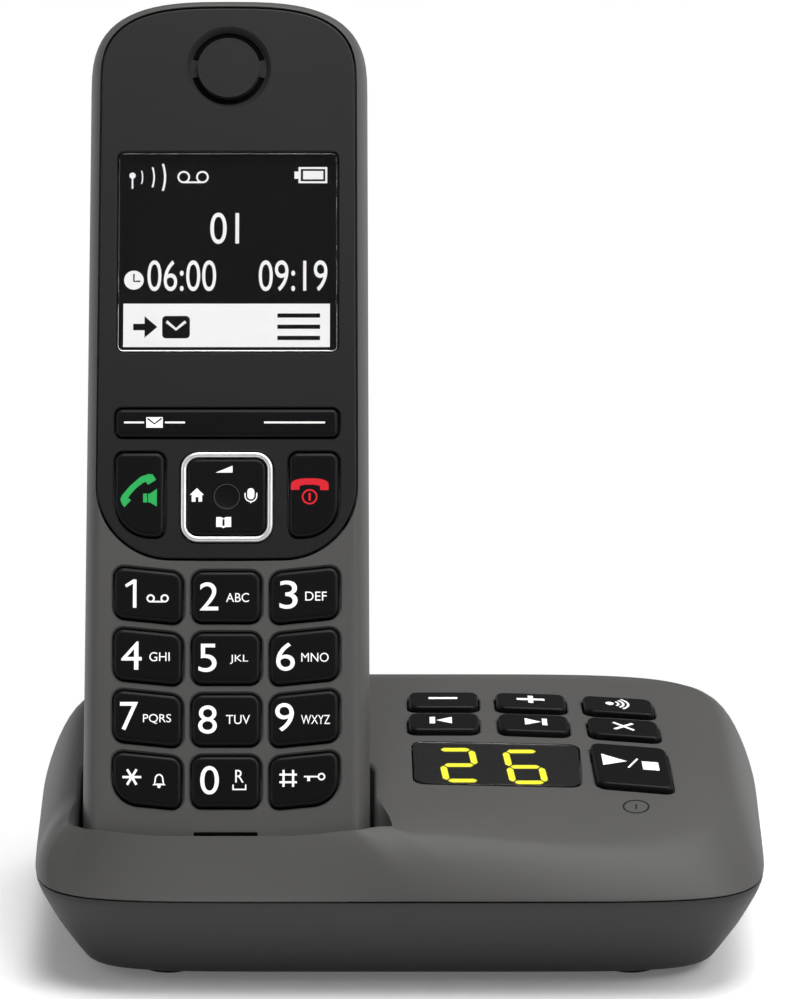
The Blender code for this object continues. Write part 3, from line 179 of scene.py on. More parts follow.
def slope(tree, value, low, high, height=1.0):
    """Nothing at the low value, rising to the height at the high one."""
    return add_node(tree, "MapRange", {"Value": value, "From Min": low, "From Max": high, "To Max": height})


# %% A finish under way
class Finish:
    """A material whose nodes are added one call at a time."""

    def __init__(self, name, colour, roughness, metallic=0.0, **constants):
        self.material = bpy.data.materials.new(name)
        self.material.use_nodes = True
        self.material.diffuse_color = (*colour, 1.0)
        self.tree = self.material.node_tree
        self.shader = self.tree.nodes["Principled BSDF"]
        self.set("Base Color", (*colour, 1.0))
        self.set("Roughness", roughness)
        self.set("Metallic", metallic)
        for socket, value in constants.items():
            self.set(socket.replace("_", " "), value)

    def set(self, socket, value):
        """Give one of the shader's sockets a value or a link."""
        fill(self.tree, self.shader.inputs[socket], value)

    def place(self):
        """Object coordinates, in metres."""
        return add_node(self.tree, "TexCoord", {}, "Object")

    def noise(self, size, detail=2.0, roughness=0.5):
        """Cloudy noise whose lumps are about that size in metres."""
        values = {"Vector": self.place(), "Scale": 1.0 / size, "Detail": detail, "Roughness": roughness}
        return add_node(self.tree, "TexNoise", values, "Fac")

    def painted_light_climb(self, low, high):
        """A share that rises with the height above the floor, used for painted light."""
        return slope(self.tree, add_node(self.tree, "SeparateXYZ", {0: self.place()}, "Z"), low, high)

    def pits(self, size):
        """Round cells about that size in metres."""
        return add_node(self.tree, "TexVoronoi", {"Vector": self.place(), "Scale": 1.0 / size}, "Distance")

    def blend(self, factor, first, second):
        """A colour between two others."""
        values = {0: factor, 6: (*first, 1.0), 7: (*second, 1.0)}
        return add_node(self.tree, "Mix", values, 2, data_type="RGBA")

    def bump(self, height, strength, depth):
        """Relief from a height, depth in metres."""
        values = {"Strength": strength, "Distance": depth, "Height": height}
        self.set("Normal", add_node(self.tree, "Bump", values, "Normal"))


def shade(colour, factor):
    """A colour made darker or paler."""
    return tuple(value * factor for value in colour)


print("shader helpers ready")


# %% [markdown]
# ## Moulded plastic
# The shells are dyed plastic from a mould whose steel was eroded by sparks, so the surface is covered in
# soft pits a tenth of a millimetre across that break up its shine. Two noises make it: one very fine for
# the pits, and one slow for the faint cloudiness that a large moulding always has. The satin plate on the
# handset also gets painted light: its colour is painted paler between two heights, standing in for the lamp
# above that falls more on its upper half.

# %% Moulded finishes
def moulded(name, colour, roughness, grain, depth, specular, tone_span=0.05, painted_light_climb=None):
    """Dyed plastic with a spark-eroded grain; where two heights are given last, its colour is painted paler between
    them, as painted light for the lamp above.
    """
    finish = Finish(name, colour, roughness, Specular_IOR_Level=specular)
    slow = finish.noise(0.03)
    fine = finish.noise(grain, detail=3.0, roughness=0.6)
    tone = slow * 0.5 + fine * 0.5
    # Painted light: the colour is painted paler towards the top, standing in for the lamp above, mixed with the random
    # tone
    if painted_light_climb:
        tone = tone * 0.3 + finish.painted_light_climb(*painted_light_climb) * 0.7
    contrast = 2.5 * tone_span
    finish.set("Base Color", finish.blend(tone, shade(colour, 1.0 - contrast), shade(colour, 1.0 + contrast)))
    finish.set("Roughness", fine * 0.16 + slow * 0.08 + (roughness - 0.12))
    finish.bump(fine * 0.7 + finish.pits(grain * 1.7) * 0.3, 0.35, depth)
    return finish.material


# Colour, roughness, size of the pits, their depth, shine, and where given the span of cloudiness and painted light,
# and the two heights of the painted light
MOULDINGS = {
    "shell_grey": ((0.083, 0.0813, 0.0791), 0.48, 0.00022, 0.00003, 0.20),
    "lower_grey": ((0.049, 0.048, 0.047), 0.56, 0.00030, 0.00004, 0.24),
    # The fascia's colour is painted paler from 65 to 155 mm above the floor: painted light for the lamp above
    "fascia_black": ((0.0175, 0.0175, 0.0179), 0.42, 0.00016, 0.00002, 0.18, 0.18, (0.065, 0.155)),
    "key_black": ((0.0050, 0.0050, 0.0058), 0.34, 0.00014, 0.000012, 0.12),
    "socket_black": ((0.016, 0.016, 0.016), 0.45, 0.0003, 0.00003, 0.4),
    "speaker_grey": ((0.06, 0.06, 0.062), 0.7, 0.0006, 0.00008, 0.3),
    "cloth_black": ((0.0022, 0.0022, 0.0022), 0.85, 0.0002, 0.00002, 0.05),
    "cell_sleeve": ((0.05, 0.25, 0.12), 0.3, 0.0008, 0.00001, 0.5),
    "display_black": ((0.005, 0.005, 0.006), 0.3, 0.0004, 0.000005, 0.1)}
FINISHES = {name: moulded(name, *values) for name, values in MOULDINGS.items()}
print("moulded finishes:", list(FINISHES))


# %% [markdown]
# ## Rubber, metal and board
# Feet and key mats are matt rubber, with a powdery bloom that hides most of the shine. Contacts are plated,
# and screws and the ring round the four-way key have a fine haze. The boards are green lacquer over copper.

# %% Rubber, metal and board finishes
def rubber(name, colour):
    finish = Finish(name, colour, 0.82, Specular_IOR_Level=0.25)
    bloom = finish.noise(0.004)
    finish.set("Base Color", finish.blend(bloom, colour, shade(colour, 1.5)))
    finish.set("Roughness", bloom * 0.12 + 0.76)
    finish.bump(finish.noise(0.0004), 0.4, 0.00005)
    return finish.material


def metal(name, colour, roughness, streak, metallic=1.0):
    finish = Finish(name, colour, roughness, metallic)
    haze = finish.noise(streak, detail=4.0)
    finish.set("Base Color", finish.blend(haze, shade(colour, 0.85), colour))
    finish.set("Roughness", haze * 0.12 + (roughness - 0.06))
    finish.bump(haze, 0.1, 0.00001)
    return finish.material


def lacquered_board(name, dark, middle, track):
    """Green lacquer over copper tracks that show as paler lines."""
    finish = Finish(name, middle, 0.42)
    finish.set("Base Color", add_node(finish.tree, "TexBrick", {
        "Vector": finish.place(), "Scale": 180.0, "Mortar Size": 0.03,
        "Color1": (*dark, 1.0), "Color2": (*middle, 1.0), "Mortar": (*track, 1.0)}, "Color"))
    finish.set("Roughness", finish.noise(0.003) * 0.2 + 0.3)
    return finish.material


FINISHES["foot_rubber"] = rubber("foot_rubber", (0.015, 0.015, 0.015))
FINISHES["mat_rubber"] = rubber("mat_rubber", (0.22, 0.22, 0.23))
FINISHES["bright_ring"] = metal("bright_ring", (0.93, 0.93, 0.94), 0.24, 0.004, 0.6)
FINISHES["contact_gold"] = metal("contact_gold", (0.83, 0.62, 0.28), 0.24, 0.0008)
FINISHES["steel"] = metal("steel", (0.55, 0.55, 0.56), 0.3, 0.0006)
FINISHES["board_green"] = lacquered_board("board_green", (0.02, 0.13, 0.05), (0.03, 0.17, 0.07), (0.05, 0.27, 0.10))
print("rubber, metal and board finishes ready")


# %% [markdown]
# ## Windows, ink and light
# A window is clear plastic, polished, with a haze too faint to see by itself. Ink is a little patchy at its finest,
# and the pale inks get a painted glow that brightens them; the digits and the display give off their own light.

# %% Window, ink and light finishes
def smoked(name, tint):
    """Clear plastic with a smoky tint, polished."""
    finish = Finish(name, tint, 0.04, IOR=1.45, Transmission_Weight=1.0)
    finish.set("Roughness", finish.noise(0.01) * 0.05 + 0.02)
    return finish.material


def lit(name, colour, strength):
    """Glass that gives off its own light."""
    finish = Finish(name, shade(colour, 0.2), 0.4, Emission_Strength=strength)
    finish.set("Emission Color", finish.blend(finish.noise(0.002), shade(colour, 0.94), colour))
    return finish.material


def ink(name, colour, glow=0.0):
    """Printed ink, a little patchy at its finest; glow gives it a painted glow that brightens it."""
    finish = Finish(name, colour, 0.45, Specular_IOR_Level=0.3, Emission_Strength=glow)
    tone = finish.blend(finish.noise(0.0004), shade(colour, 0.9), colour)
    finish.set("Base Color", tone)
    finish.set("Emission Color", tone)
    return finish.material


FINISHES["window_black"] = smoked("clear_window", (0.93, 0.93, 0.94))
smoky_window = smoked("smoky_window", (0.72, 0.72, 0.73))
# The white, green and red inks get a painted glow that brightens the print; the dark and grey inks have none
white_ink = ink("white_ink", (0.86, 0.86, 0.85), 0.35)
green_ink = ink("green_ink", (0.020, 0.40, 0.090), 0.15)
red_ink = ink("red_ink", (0.60, 0.008, 0.020), 0.25)
dark_ink = ink("dark_ink", (0.008, 0.008, 0.008))
# Painted highlight: a pale grey for the lit edge of the four-way key's dimple
dimple_highlight_ink = ink("dimple_highlight_ink", (0.040, 0.040, 0.041))
lit_white = lit("lit_white", (0.93, 0.93, 0.92), 1.0)
lit_yellow = lit("lit_yellow", (0.93, 0.90, 0.03), 1.9)
print("window, ink and light finishes ready")

# %% [markdown]
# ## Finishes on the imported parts
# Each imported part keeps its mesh. Only its material slot changes, and the record's slots say which finish
# goes where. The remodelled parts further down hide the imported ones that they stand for.

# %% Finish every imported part
SLOTS = {part["node"]: part["material_slot"] for part in frame["record"]["subparts"]}
for node, part in frame["nodes"].items():
    part.data.materials.clear()
    part.data.materials.append(FINISHES[SLOTS[node]])
print("finished", len(SLOTS), "packed parts")


# %% [markdown]
# ## Where things are
# The base sits level. The handset leans back by 29 degrees in its cradle, so places on it are easier to say
# in its own measures: across from its middle, up from its foot, and deep from its face. These functions turn
# such a place into one in the room.

# %% Places on the base and on the handset
BASE_SHIFT = -0.003381
LEAN_UP = Vector((0.0, 0.48481, 0.87462))
LEAN_DEEP = Vector((0.0, 0.87462, -0.48481))
HANDSET_FOOT = Vector((-0.0298, -0.0403, 0.0210))


def in_base(across, back, height):
    """A place in the base's own measures, in the room."""
    return Vector((across, back + BASE_SHIFT, height))


def before_shift(across, up, deep):
    """A place in the handset's own measures, in the base's."""
    return HANDSET_FOOT + Vector((across, 0.0, 0.0)) + LEAN_UP * up + LEAN_DEEP * deep


def in_handset(across, up, deep):
    """A place in the handset's own measures, in the room."""
    return before_shift(across, up, deep) + Vector((0.0, BASE_SHIFT, 0.0))


def stand(rings):
    """Rings of handset measures, in the room."""
    return [[in_handset(*point) for point in ring] for ring in rings]


print("handset foot at", tuple(round(value, 4) for value in in_handset(0.0, 0.0, 0.0)))


# %% [markdown]
# ## Lofting by hand
# Most moulded parts are stacks of outlines. By hand one would add a circle, set its points on the first
# outline, and extrude the loop again and again, setting each new loop on the next outline. The helper does
# just that, then fills the two ends and turns every face outwards.

# %% Loft helper
def select_loop(shape, verts):
    """Select only these points."""
    bpy.ops.mesh.select_all(action="DESELECT")
    for vert in verts:
        vert.select = True
    shape.select_flush_mode()


def loft(name, rings, first_cap=True, last_cap=True, joined=False):
    """A circle extruded through every ring in turn; joined closes the last ring on the first."""
    release()
    bpy.ops.mesh.primitive_circle_add(vertices=len(rings[0]))
    piece = named(bpy.context.object, name)
    bpy.ops.object.mode_set(mode="EDIT")
    shape = bmesh.from_edit_mesh(piece.data)
    start = order = list(shape.verts)
    for vert, point in zip(order, rings[0]):
        vert.co = point
    bpy.ops.mesh.select_all(action="SELECT")
    for ring in rings[1:]:
        rank = {vert: number for number, vert in enumerate(order)}
        bpy.ops.mesh.extrude_edges_move()
        new = [None] * len(order)
        for vert in shape.verts:
            if vert.select:
                for edge in vert.link_edges:
                    other = edge.other_vert(vert)
                    if other in rank:
                        new[rank[other]] = vert
        for vert, point in zip(new, ring):
            vert.co = point
        order = new
    if joined:
        select_loop(shape, start + order)
        for vert in start + order:
            for edge in vert.link_edges:
                first, second = edge.verts
                edge.select = first.select and second.select and (first in start) == (second in start)
        bpy.ops.mesh.bridge_edge_loops()
    else:
        for wanted, loop in ((first_cap, start), (last_cap, order)):
            if wanted:
                select_loop(shape, loop)
                bpy.ops.mesh.edge_face_add()
    return face_outwards(piece)


# %% Cutting and finishing helpers
def apply_modifier(piece, kind, **settings):
    """Add a modifier with its settings and apply it."""
    pick(piece)
    tool = piece.modifiers.new(kind.lower(), kind)
    for setting, value in settings.items():
        setattr(tool, setting, value)
    bpy.ops.object.modifier_apply(modifier=tool.name)


def cut(piece, cutters, operation="DIFFERENCE"):
    """Cut these pieces out of another, and throw them away."""
    for cutter in cutters:
        apply_modifier(piece, "BOOLEAN", operation=operation, solver="EXACT", object=cutter)
        bpy.data.objects.remove(cutter)
    return piece


def finish_piece(piece, body, slot, *replaced, material=None, angle=30.0):
    """Shade a piece, give it its finish, and say what it stands for and what it moves with."""
    pick(piece)
    bpy.ops.object.shade_smooth_by_angle(angle=math.radians(angle))
    piece.data.materials.clear()
    piece.data.materials.append(material or FINISHES[slot])
    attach(piece, body)
    if replaced:
        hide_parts(*replaced)
    print(piece.name, len(piece.data.polygons), "faces on", body)


# %% [markdown]
# ## Outlines
# Two kinds of outline cover almost everything. A rounded rectangle suits keys and windows. A superellipse,
# which is a circle's formula with a higher power, suits the base's plan and the handset's ends: it has nearly
# straight sides that run into their corners without a kink.

# %% Rounded rectangle, circle and superellipse
CORNER_POINTS = 8
LEAST_CORNER_SHARE = 0.2


def on_circle(centre, radius, angle):
    """A point of a circle."""
    return (centre[0] + radius * math.cos(angle), centre[1] + radius * math.sin(angle))


def circle(centre, radius, steps):
    """A whole circle of points."""
    return [on_circle(centre, radius, math.tau * step / steps) for step in range(steps)]


def arc(centre, radius, start, end, steps):
    """Points of an arc between two angles."""
    return [on_circle(centre, radius, start + (end - start) * step / steps) for step in range(steps + 1)]


def rounded(width, height, radii, centre=(0.0, 0.0), shift=None):
    """A rounded rectangle as a function of its inset; radii run foot right, top right, top left, foot left."""
    if not isinstance(radii, list):
        radii = [radii] * 4

    def outline(inset):
        half_width, half_height = width / 2 - inset, height / 2 - inset
        ring = []
        for number, (side, rise) in enumerate(((1, -1), (1, 1), (-1, 1), (-1, -1))):
            radius = max(radii[number] - inset, radii[number] * LEAST_CORNER_SHARE)
            corner = (side * (half_width - radius), rise * (half_height - radius))
            ring += [on_circle(corner, radius, (number - 1 + step / CORNER_POINTS) * math.pi / 2)
                     for step in range(CORNER_POINTS + 1)]
        if shift:
            ring = [shift(u, v) for u, v in ring]
        return [(centre[0] + u, centre[1] + v) for u, v in ring]
    return outline


def superellipse(half_u, half_v, power, angle):
    """A point of a superellipse."""
    cosine, sine = math.cos(angle), math.sin(angle)
    return (half_u * math.copysign(abs(cosine) ** (2 / power), cosine),
            half_v * math.copysign(abs(sine) ** (2 / power), sine))


def smooth_step(value, start, end):
    """Rise from 0 at start to 1 at end without a kink."""
    share = min(max((value - start) / (end - start), 0.0), 1.0)
    return share * share * (3 - 2 * share)


def widest(holds, high, rounds):
    """The largest value under high for which a test holds, found by halving."""
    low = 0.0
    for _ in range(rounds):
        middle = (low + high) / 2
        low, high = (middle, high) if holds(middle) else (low, middle)
    return low


print("outlines ready")

# %% [markdown]
# ## The base's upper shell
# The shell is a low pillow that swells towards the back, with a soft collar in front of the handset. Where a
# point lies between the rim and the crown is found from its inset: how far its superellipse sits inside the
# base's plan. The height follows from that, so any place on the pillow can be asked for.

# %% Height of the pillow
BASE_WIDTH, BASE_DEPTH = 0.1259, 0.0890
RIM_POWER, CROWN_POWER = 7.0, 4.7
SEAM, SHOULDER = 0.0188, 0.0088
CREST_HEIGHT, CREST_BACK, PANEL_RADIUS = 0.0346, 0.0330, 0.280
HANDSET_MIDDLE, HANDSET_WIDTH = -0.0298, 0.0494
PANEL_LEFT = HANDSET_MIDDLE + HANDSET_WIDTH / 2
FRONT_RAISE, FRONT_FADE, RIGHT_FADE = 0.0027, 0.0200, 0.0450
LEFT_RAISE, LEFT_FADE = 0.0014, 0.0195
RISE_POWER, CORNER_RISE_POWER = 1.8, 0.9
INSET_HALVINGS, RIM_HALVINGS, LIP_HALVINGS = 30, 34, 40


def near_front(back):
    start = SHOULDER - BASE_DEPTH / 2
    return 1 - smooth_step(back, start, start + FRONT_FADE)


def near_left(across, reach):
    start = HANDSET_MIDDLE - HANDSET_WIDTH / 2
    return 1 - smooth_step(across, start, start + reach)


def pillow_top(across, back):
    """Height of the crown before its edges fall away."""
    dome = CREST_HEIGHT - (back - CREST_BACK) ** 2 / (2 * PANEL_RADIUS)
    collar = FRONT_RAISE * (1 - smooth_step(across, PANEL_LEFT, PANEL_LEFT + RIGHT_FADE))
    return dome + (collar + LEFT_RAISE * near_left(across, LEFT_FADE)) * near_front(back)


def plan_reach(across, back, inset):
    """Below 1 inside the base's plan at an inset, and above 1 outside it."""
    corner = across < 0.0 and back < 0.0
    power = RIM_POWER if corner else RIM_POWER + (CROWN_POWER - RIM_POWER) * inset / SHOULDER
    return abs(across / (BASE_WIDTH / 2 - inset)) ** power + abs(back / (BASE_DEPTH / 2 - inset)) ** power


def inset_of(across, back):
    """How far inside the base's plan a place lies, up to the width of the shoulder."""
    return widest(lambda inset: plan_reach(across, back, inset) <= 1.0, SHOULDER, INSET_HALVINGS)


def pillow(across, back):
    """Height of the upper shell's skin."""
    top = pillow_top(across, back)
    turn = math.acos(max(1.0 - inset_of(across, back) / SHOULDER, 0.0))
    fullness = near_left(across, HANDSET_WIDTH / 2) * near_front(back)
    power = RISE_POWER + (CORNER_RISE_POWER - RISE_POWER) * fullness
    return SEAM + (top - SEAM) * math.sin(turn) ** power


print("crest", pillow(0.0, CREST_BACK))


# %% [markdown]
# The cradle is a well that follows the handset's section down its lean. Its lip is rolled over, tightly all
# round and in a wider flare at its two front corners, where a finger wipes past. In front the collar is raised
# until the lip reaches a level of its own. Each ray from the middle of the well crosses the well's floor and
# wall, the rolled lip, the crown, the shoulder and the rim, and gives one point to each ring of the loft, so
# the lip comes out smooth without any cutting.

# %% Section of the well and the places of its lip
WELL_GAP, WELL_BACK = 0.0006, 0.0245
SECTION_CORNER = 0.0032
LIP_DROP, LIP_ROLL = 0.0012, 0.0008
FLARE_RIGHT, FLARE_LEFT, FLARE_FALL = 0.0024, 0.0010, 2.6
FLARE_START, FLARE_END = 0.0040, 0.0140
LIP_LEVEL, LIP_RISE = 0.02845, 0.0010
RISE_START, RISE_END = 0.010, 0.025
RAISED_START, RAISED_END = 0.002, 0.010
HIGHEST_LIP = 0.06


def section(share):
    """A point of the well's section and its outward direction, from a share of the way round."""
    half_u, half_v = HANDSET_WIDTH / 2 + WELL_GAP, (WELL_BACK + 2 * WELL_GAP) / 2
    flat_u, flat_v = half_u - SECTION_CORNER, half_v - SECTION_CORNER
    bend = SECTION_CORNER * math.pi / 2
    run = share * (4 * flat_u + 4 * flat_v + 4 * bend)
    sides = ((1, -1, flat_v * 2), (1, 1, flat_u * 2), (-1, 1, flat_v * 2), (-1, -1, flat_u * 2))
    for number, (side, rise, length) in enumerate(sides):
        out = on_circle((0.0, 0.0), 1.0, (number - 1) * math.pi / 2 + min(run, bend) / SECTION_CORNER)
        corner = (side * flat_u + SECTION_CORNER * out[0],
                  half_v - WELL_GAP + rise * flat_v + SECTION_CORNER * out[1])
        along = max(run - bend, 0.0)
        if along <= length:
            return (corner[0] - along * out[1], corner[1] + along * out[0]), out
        run = along - length
    return section(0.0)


def lip(share):
    """The wall's upper end, where it meets the crown, its drop and flare, and how far the collar is raised."""
    (across, deep), out = section(share)
    near = smooth_step(deep, 0.0, FLARE_START) * (1 - smooth_step(deep, FLARE_START, FLARE_END))
    flare = (FLARE_RIGHT if across > 0.0 else FLARE_LEFT) * near
    drop = LIP_DROP + FLARE_FALL * flare
    wanted = LIP_LEVEL + LIP_RISE * smooth_step(abs(across), RISE_START, RISE_END)
    front = 1 - smooth_step(deep, RAISED_START, RAISED_END)

    def measure(up):
        place = before_shift(across, up, deep)
        crown = (place.x + out[0] * (LIP_ROLL + flare), place.y + out[1] * LIP_ROLL)
        return place, crown, max(wanted - pillow(*crown), 0.0) * front

    def below(up):
        place, crown, raised = measure(up)
        return place.z < pillow(*crown) + raised - drop

    up = widest(below, HIGHEST_LIP, LIP_HALVINGS)
    place, crown, raised = measure(up)
    return across, deep, up, (place.x, place.y), crown, (drop, flare), raised


# %% Rays from the well to the rim
RAY_COUNT, COARSE_COUNT, RIM_COUNT = 220, 400, 120
RAY_SPACING = 0.0009
WELL_CENTRE = Vector((HANDSET_MIDDLE, -0.0190))
LONGEST_RAY = 0.2


def rim_reach(direction, inset):
    """Distance along a ray to the plan's outline at an inset."""
    def inside(along):
        return plan_reach(WELL_CENTRE.x + direction[0] * along, WELL_CENTRE.y + direction[1] * along, inset) < 1.0
    return widest(inside, LONGEST_RAY, RIM_HALVINGS)


def bearing(point):
    """Direction of a place, seen from the middle of the well."""
    return math.atan2(point[1] - WELL_CENTRE.y, point[0] - WELL_CENTRE.x) % math.tau


def shares_for(angle, table):
    """The share whose ray has a bearing, if the table of both has it."""
    for (low, low_angle), (high, high_angle) in zip(table, table[1:]):
        if low_angle <= angle <= high_angle:
            return [(low + (high - low) * (angle - low_angle) / max(high_angle - low_angle, 1e-9)) % 1.0]
    return []


coarse = sorted((bearing(lip(number / COARSE_COUNT)[4]), number / COARSE_COUNT) for number in range(COARSE_COUNT))
first_share = coarse[0][1]
table = [(share + (1.0 if share < first_share else 0.0), angle) for angle, share in coarse]
shares = [number / RAY_COUNT for number in range(RAY_COUNT)]
for number in range(RIM_COUNT):
    corner = superellipse(BASE_WIDTH / 2, BASE_DEPTH / 2, RIM_POWER, math.tau * number / RIM_COUNT)
    shares += shares_for(bearing(corner), table)
shares = sorted(shares)
shares = [share for number, share in enumerate(shares) if number == 0 or share - shares[number - 1] > RAY_SPACING]
print(len(shares), "rays")

# %% Rings of the upper shell
SHOULDER_STEPS, CROWN_STEPS, LIP_STEPS = 12, 14, 7
SHOULDER_SHARE, CROWN_CROWDING, FLARE_POWER = 0.86, 1.3, 0.6
FOOT_ARCH, FOOT_POWER = 0.0080, 3.2
WELL_LEVELS = (0.25, 0.5, 0.75, 1.0)
FRONT_LEDGE, LEAST_WALL, FLOOR_STEP = 0.0042, 0.0008, 0.0001
COLLAR_REACH, COLLAR_SWELL = 0.018, 1.05
SHORT_REACH, MIDDLE_REACH = 0.006, 0.012
STEEP_START, STEEP_END = -0.0004, 0.0040
FLOOR_TURNS = (12.0, 25.0, 38.0, 50.0, 61.0, 71.0, 80.0)


def ray_points(share):
    """Every ring's point on one ray, from the rim to the floor of the well."""
    across, deep, up, wall, crown, (drop, flare), raised = lip(share)
    ahead = Vector((crown[0] - WELL_CENTRE.x, crown[1] - WELL_CENTRE.y))
    start = ahead.length
    direction = ahead / start
    edge = pillow(*crown) + raised
    reach = min(rim_reach(direction, 0.0) - start, COLLAR_REACH)
    power = 1.0 + smooth_step(reach, SHORT_REACH, COLLAR_REACH)
    steep = (1 - smooth_step(deep, STEEP_START, STEEP_END)) * (1 - smooth_step(reach, SHORT_REACH, MIDDLE_REACH))

    def height_at(place):
        near = max(1.0 - math.hypot(place.x - crown[0], place.y - crown[1]) / reach, 0.0)
        soft = pillow(place.x, place.y) + raised * near ** power
        return soft + (SEAM + (edge - SEAM) * near ** COLLAR_SWELL - soft) * steep

    last = math.acos(1.0 - min(SHOULDER, SHOULDER_SHARE * inset_of(*crown)) / SHOULDER)
    points = []
    for step in range(SHOULDER_STEPS + 1):
        rim = rim_reach(direction, SHOULDER * (1 - math.cos(last * step / SHOULDER_STEPS)))
        place = WELL_CENTRE + direction * rim
        points.append(in_base(place.x, place.y, SEAM if step == 0 else height_at(place)))
    for step in range(1, CROWN_STEPS + 1):
        along = rim + (start - rim) * (1 - (1 - step / CROWN_STEPS) ** CROWN_CROWDING)
        place = WELL_CENTRE + direction * along
        points.append(in_base(place.x, place.y, height_at(place)))
    floor = edge - drop
    straight = flare / FLARE_RIGHT
    for step in range(1, LIP_STEPS + 1):
        level = step / LIP_STEPS
        over, down = math.sin(math.pi / 2 * level), math.cos(math.pi / 2 * level)
        mix = over + (level - over) * straight
        left = down + (1 - level ** FLARE_POWER - down) * straight
        place = (crown[0] + (wall[0] - crown[0]) * mix, crown[1] + (wall[1] - crown[1]) * mix)
        points.append(in_base(*place, floor + (edge - floor) * left))
    arch = FOOT_ARCH - WELL_GAP
    low = min(arch, up - LEAST_WALL, FRONT_LEDGE if deep < 0.0 else arch)
    points += [in_handset(across, up + (low - up) * level, deep) for level in WELL_LEVELS]
    for number, turn in enumerate(FLOOR_TURNS, 1):
        narrow, fall = superellipse(1.0, FOOT_ARCH, FOOT_POWER, math.radians(turn))
        points.append(in_handset(across * narrow, min(arch - fall, low - FLOOR_STEP * number), deep))
    return points


columns = [ray_points(share) for share in shares]
upper_rings = [list(ring) for ring in zip(*columns)]
upper = loft("base_upper_shell_dressed", upper_rings, first_cap=False)
print(len(upper_rings), "rings of", len(upper_rings[0]))


# %% [markdown]
# ## Pockets for the base's keys
# The seven keys and the counter's window stand in openings of the crown. In the photograph each opening shows
# as a dark groove with a fine bright line round it, where the light catches its broken edge. So every cutter
# widens at its top, and leaves a small chamfer behind.

# %% Places on the sloped panel
GAP = 0.0003
COLUMN_PITCH, LEFT_COLUMN = 0.0154, 0.0077
BACK_ROW, FRONT_ROW, PLAY_ROW = 0.0190, 0.0085, -0.0072
ROW_ARC, COLUMN_SPLAY = 0.172, 0.460
SMALL_KEY, PLAY_KEY, BASE_KEY_CORNER = (0.012201, 0.0078), (0.013101, 0.0160), 0.0016
COUNTER_COLUMN, COUNTER_SIZE, COUNTER_CORNER = 0.56 * COLUMN_PITCH, (0.028801, 0.0168), 0.0022
BASE_KEYS = {
    "volume_down_key": (0.0, BACK_ROW, SMALL_KEY), "volume_up_key": (COLUMN_PITCH, BACK_ROW, SMALL_KEY),
    "page_key": (2 * COLUMN_PITCH, BACK_ROW, SMALL_KEY), "skip_back_key": (0.0, FRONT_ROW, SMALL_KEY),
    "skip_forward_key": (COLUMN_PITCH, FRONT_ROW, SMALL_KEY), "delete_key": (2 * COLUMN_PITCH, FRONT_ROW, SMALL_KEY),
    "play_stop_key": (2 * COLUMN_PITCH, PLAY_ROW, PLAY_KEY)}
KEY_BREAK, COUNTER_BREAK, POCKET_DEPTH, CUTTER_OVER = 0.00022, 0.00015, 0.0040, 0.0008
UPPER_WALL = 0.0004


def panel_middle(column, row):
    """The middle of a key in the base's own measures."""
    return LEFT_COLUMN + column * (1 + (BACK_ROW - row) / COLUMN_SPLAY), row - column * column / (2 * ROW_ARC)


def panel_sheet(column, row):
    """A flat sheet on the panel: a function from across, up and proud to the room."""
    across, back = panel_middle(column, row)
    tilt = math.atan((CREST_BACK - back) / PANEL_RADIUS)
    origin = in_base(across, back, pillow_top(across, back))
    ahead = Vector((0.0, math.cos(tilt), math.sin(tilt)))
    proud = Vector((0.0, -math.sin(tilt), math.cos(tilt)))
    return lambda u, v, lift: origin + Vector((u, 0.0, 0.0)) + ahead * v + proud * lift


def slant(column):
    """How the arc of the rows and the splay of the columns shear what lies on the panel."""
    return lambda u, v: (u - v * column / COLUMN_SPLAY, v - u * column / ROW_ARC)


def panel_outline(column, size, corner, grow=0.0):
    """A rounded outline sheared along the arc of the keys."""
    return rounded(size[0] + 2 * grow, size[1] + 2 * grow, corner, shift=slant(column))


def stack(name, outline, place, steps, joined=False):
    """A loft of one outline at several insets and levels, which place turns to the room."""
    return loft(name, [[place(u, v, level) for u, v in outline(inset)] for inset, level in steps], joined=joined)


def cutter(name, outline, sheet, surface, broken, depth):
    """A cutter that chamfers the surface it goes through."""
    steps = ((-(broken + CUTTER_OVER), surface + CUTTER_OVER), (0.0, surface - broken), (0.0, surface - depth))
    return stack(name + "_cutter", outline, sheet, steps)


cutters = [cutter(name, panel_outline(column, size, BASE_KEY_CORNER + GAP, GAP), panel_sheet(column, row),
                  0.0, KEY_BREAK, POCKET_DEPTH) for name, (column, row, size) in BASE_KEYS.items()]
counter_sheet = panel_sheet(COUNTER_COLUMN, PLAY_ROW)
cutters.append(cutter("counter", panel_outline(COUNTER_COLUMN, COUNTER_SIZE, COUNTER_CORNER, GAP), counter_sheet,
                      0.0, COUNTER_BREAK, POCKET_DEPTH))
apply_modifier(upper, "SOLIDIFY", thickness=UPPER_WALL, offset=-1.0)
cut(upper, cutters)
finish_piece(upper, "base", "shell_grey", "base_upper_shell")


# %% [markdown]
# ## The lower shell
# Below the seam a darker tub curves in to a narrow foot, so the base seems to float. Its profile is a short
# list of insets and drops, drawn through with a smooth curve, once for its skin and once for its inner wall.

# %% Lower shell
FOOT_HEIGHT, LOWER_WALL = 0.0010, 0.0018
LOWER_SIDE, LOWER_FRONT = 0.0087, 0.0132
PROFILE_SHARES = (
    (0.0, 0.0), (0.09, 0.13), (0.24, 0.3), (0.43, 0.5), (0.65, 0.7), (0.82, 0.85), (0.96, 0.95), (1.2, 1.0))
PROFILE_STEPS, PLAN_POINTS, CORNER_CROWDING = 4, 240, 0.22
RIM_STEPS, RIM_EASE = ((0.0003, 0.0), (0.0001, 0.0001)), 0.0004


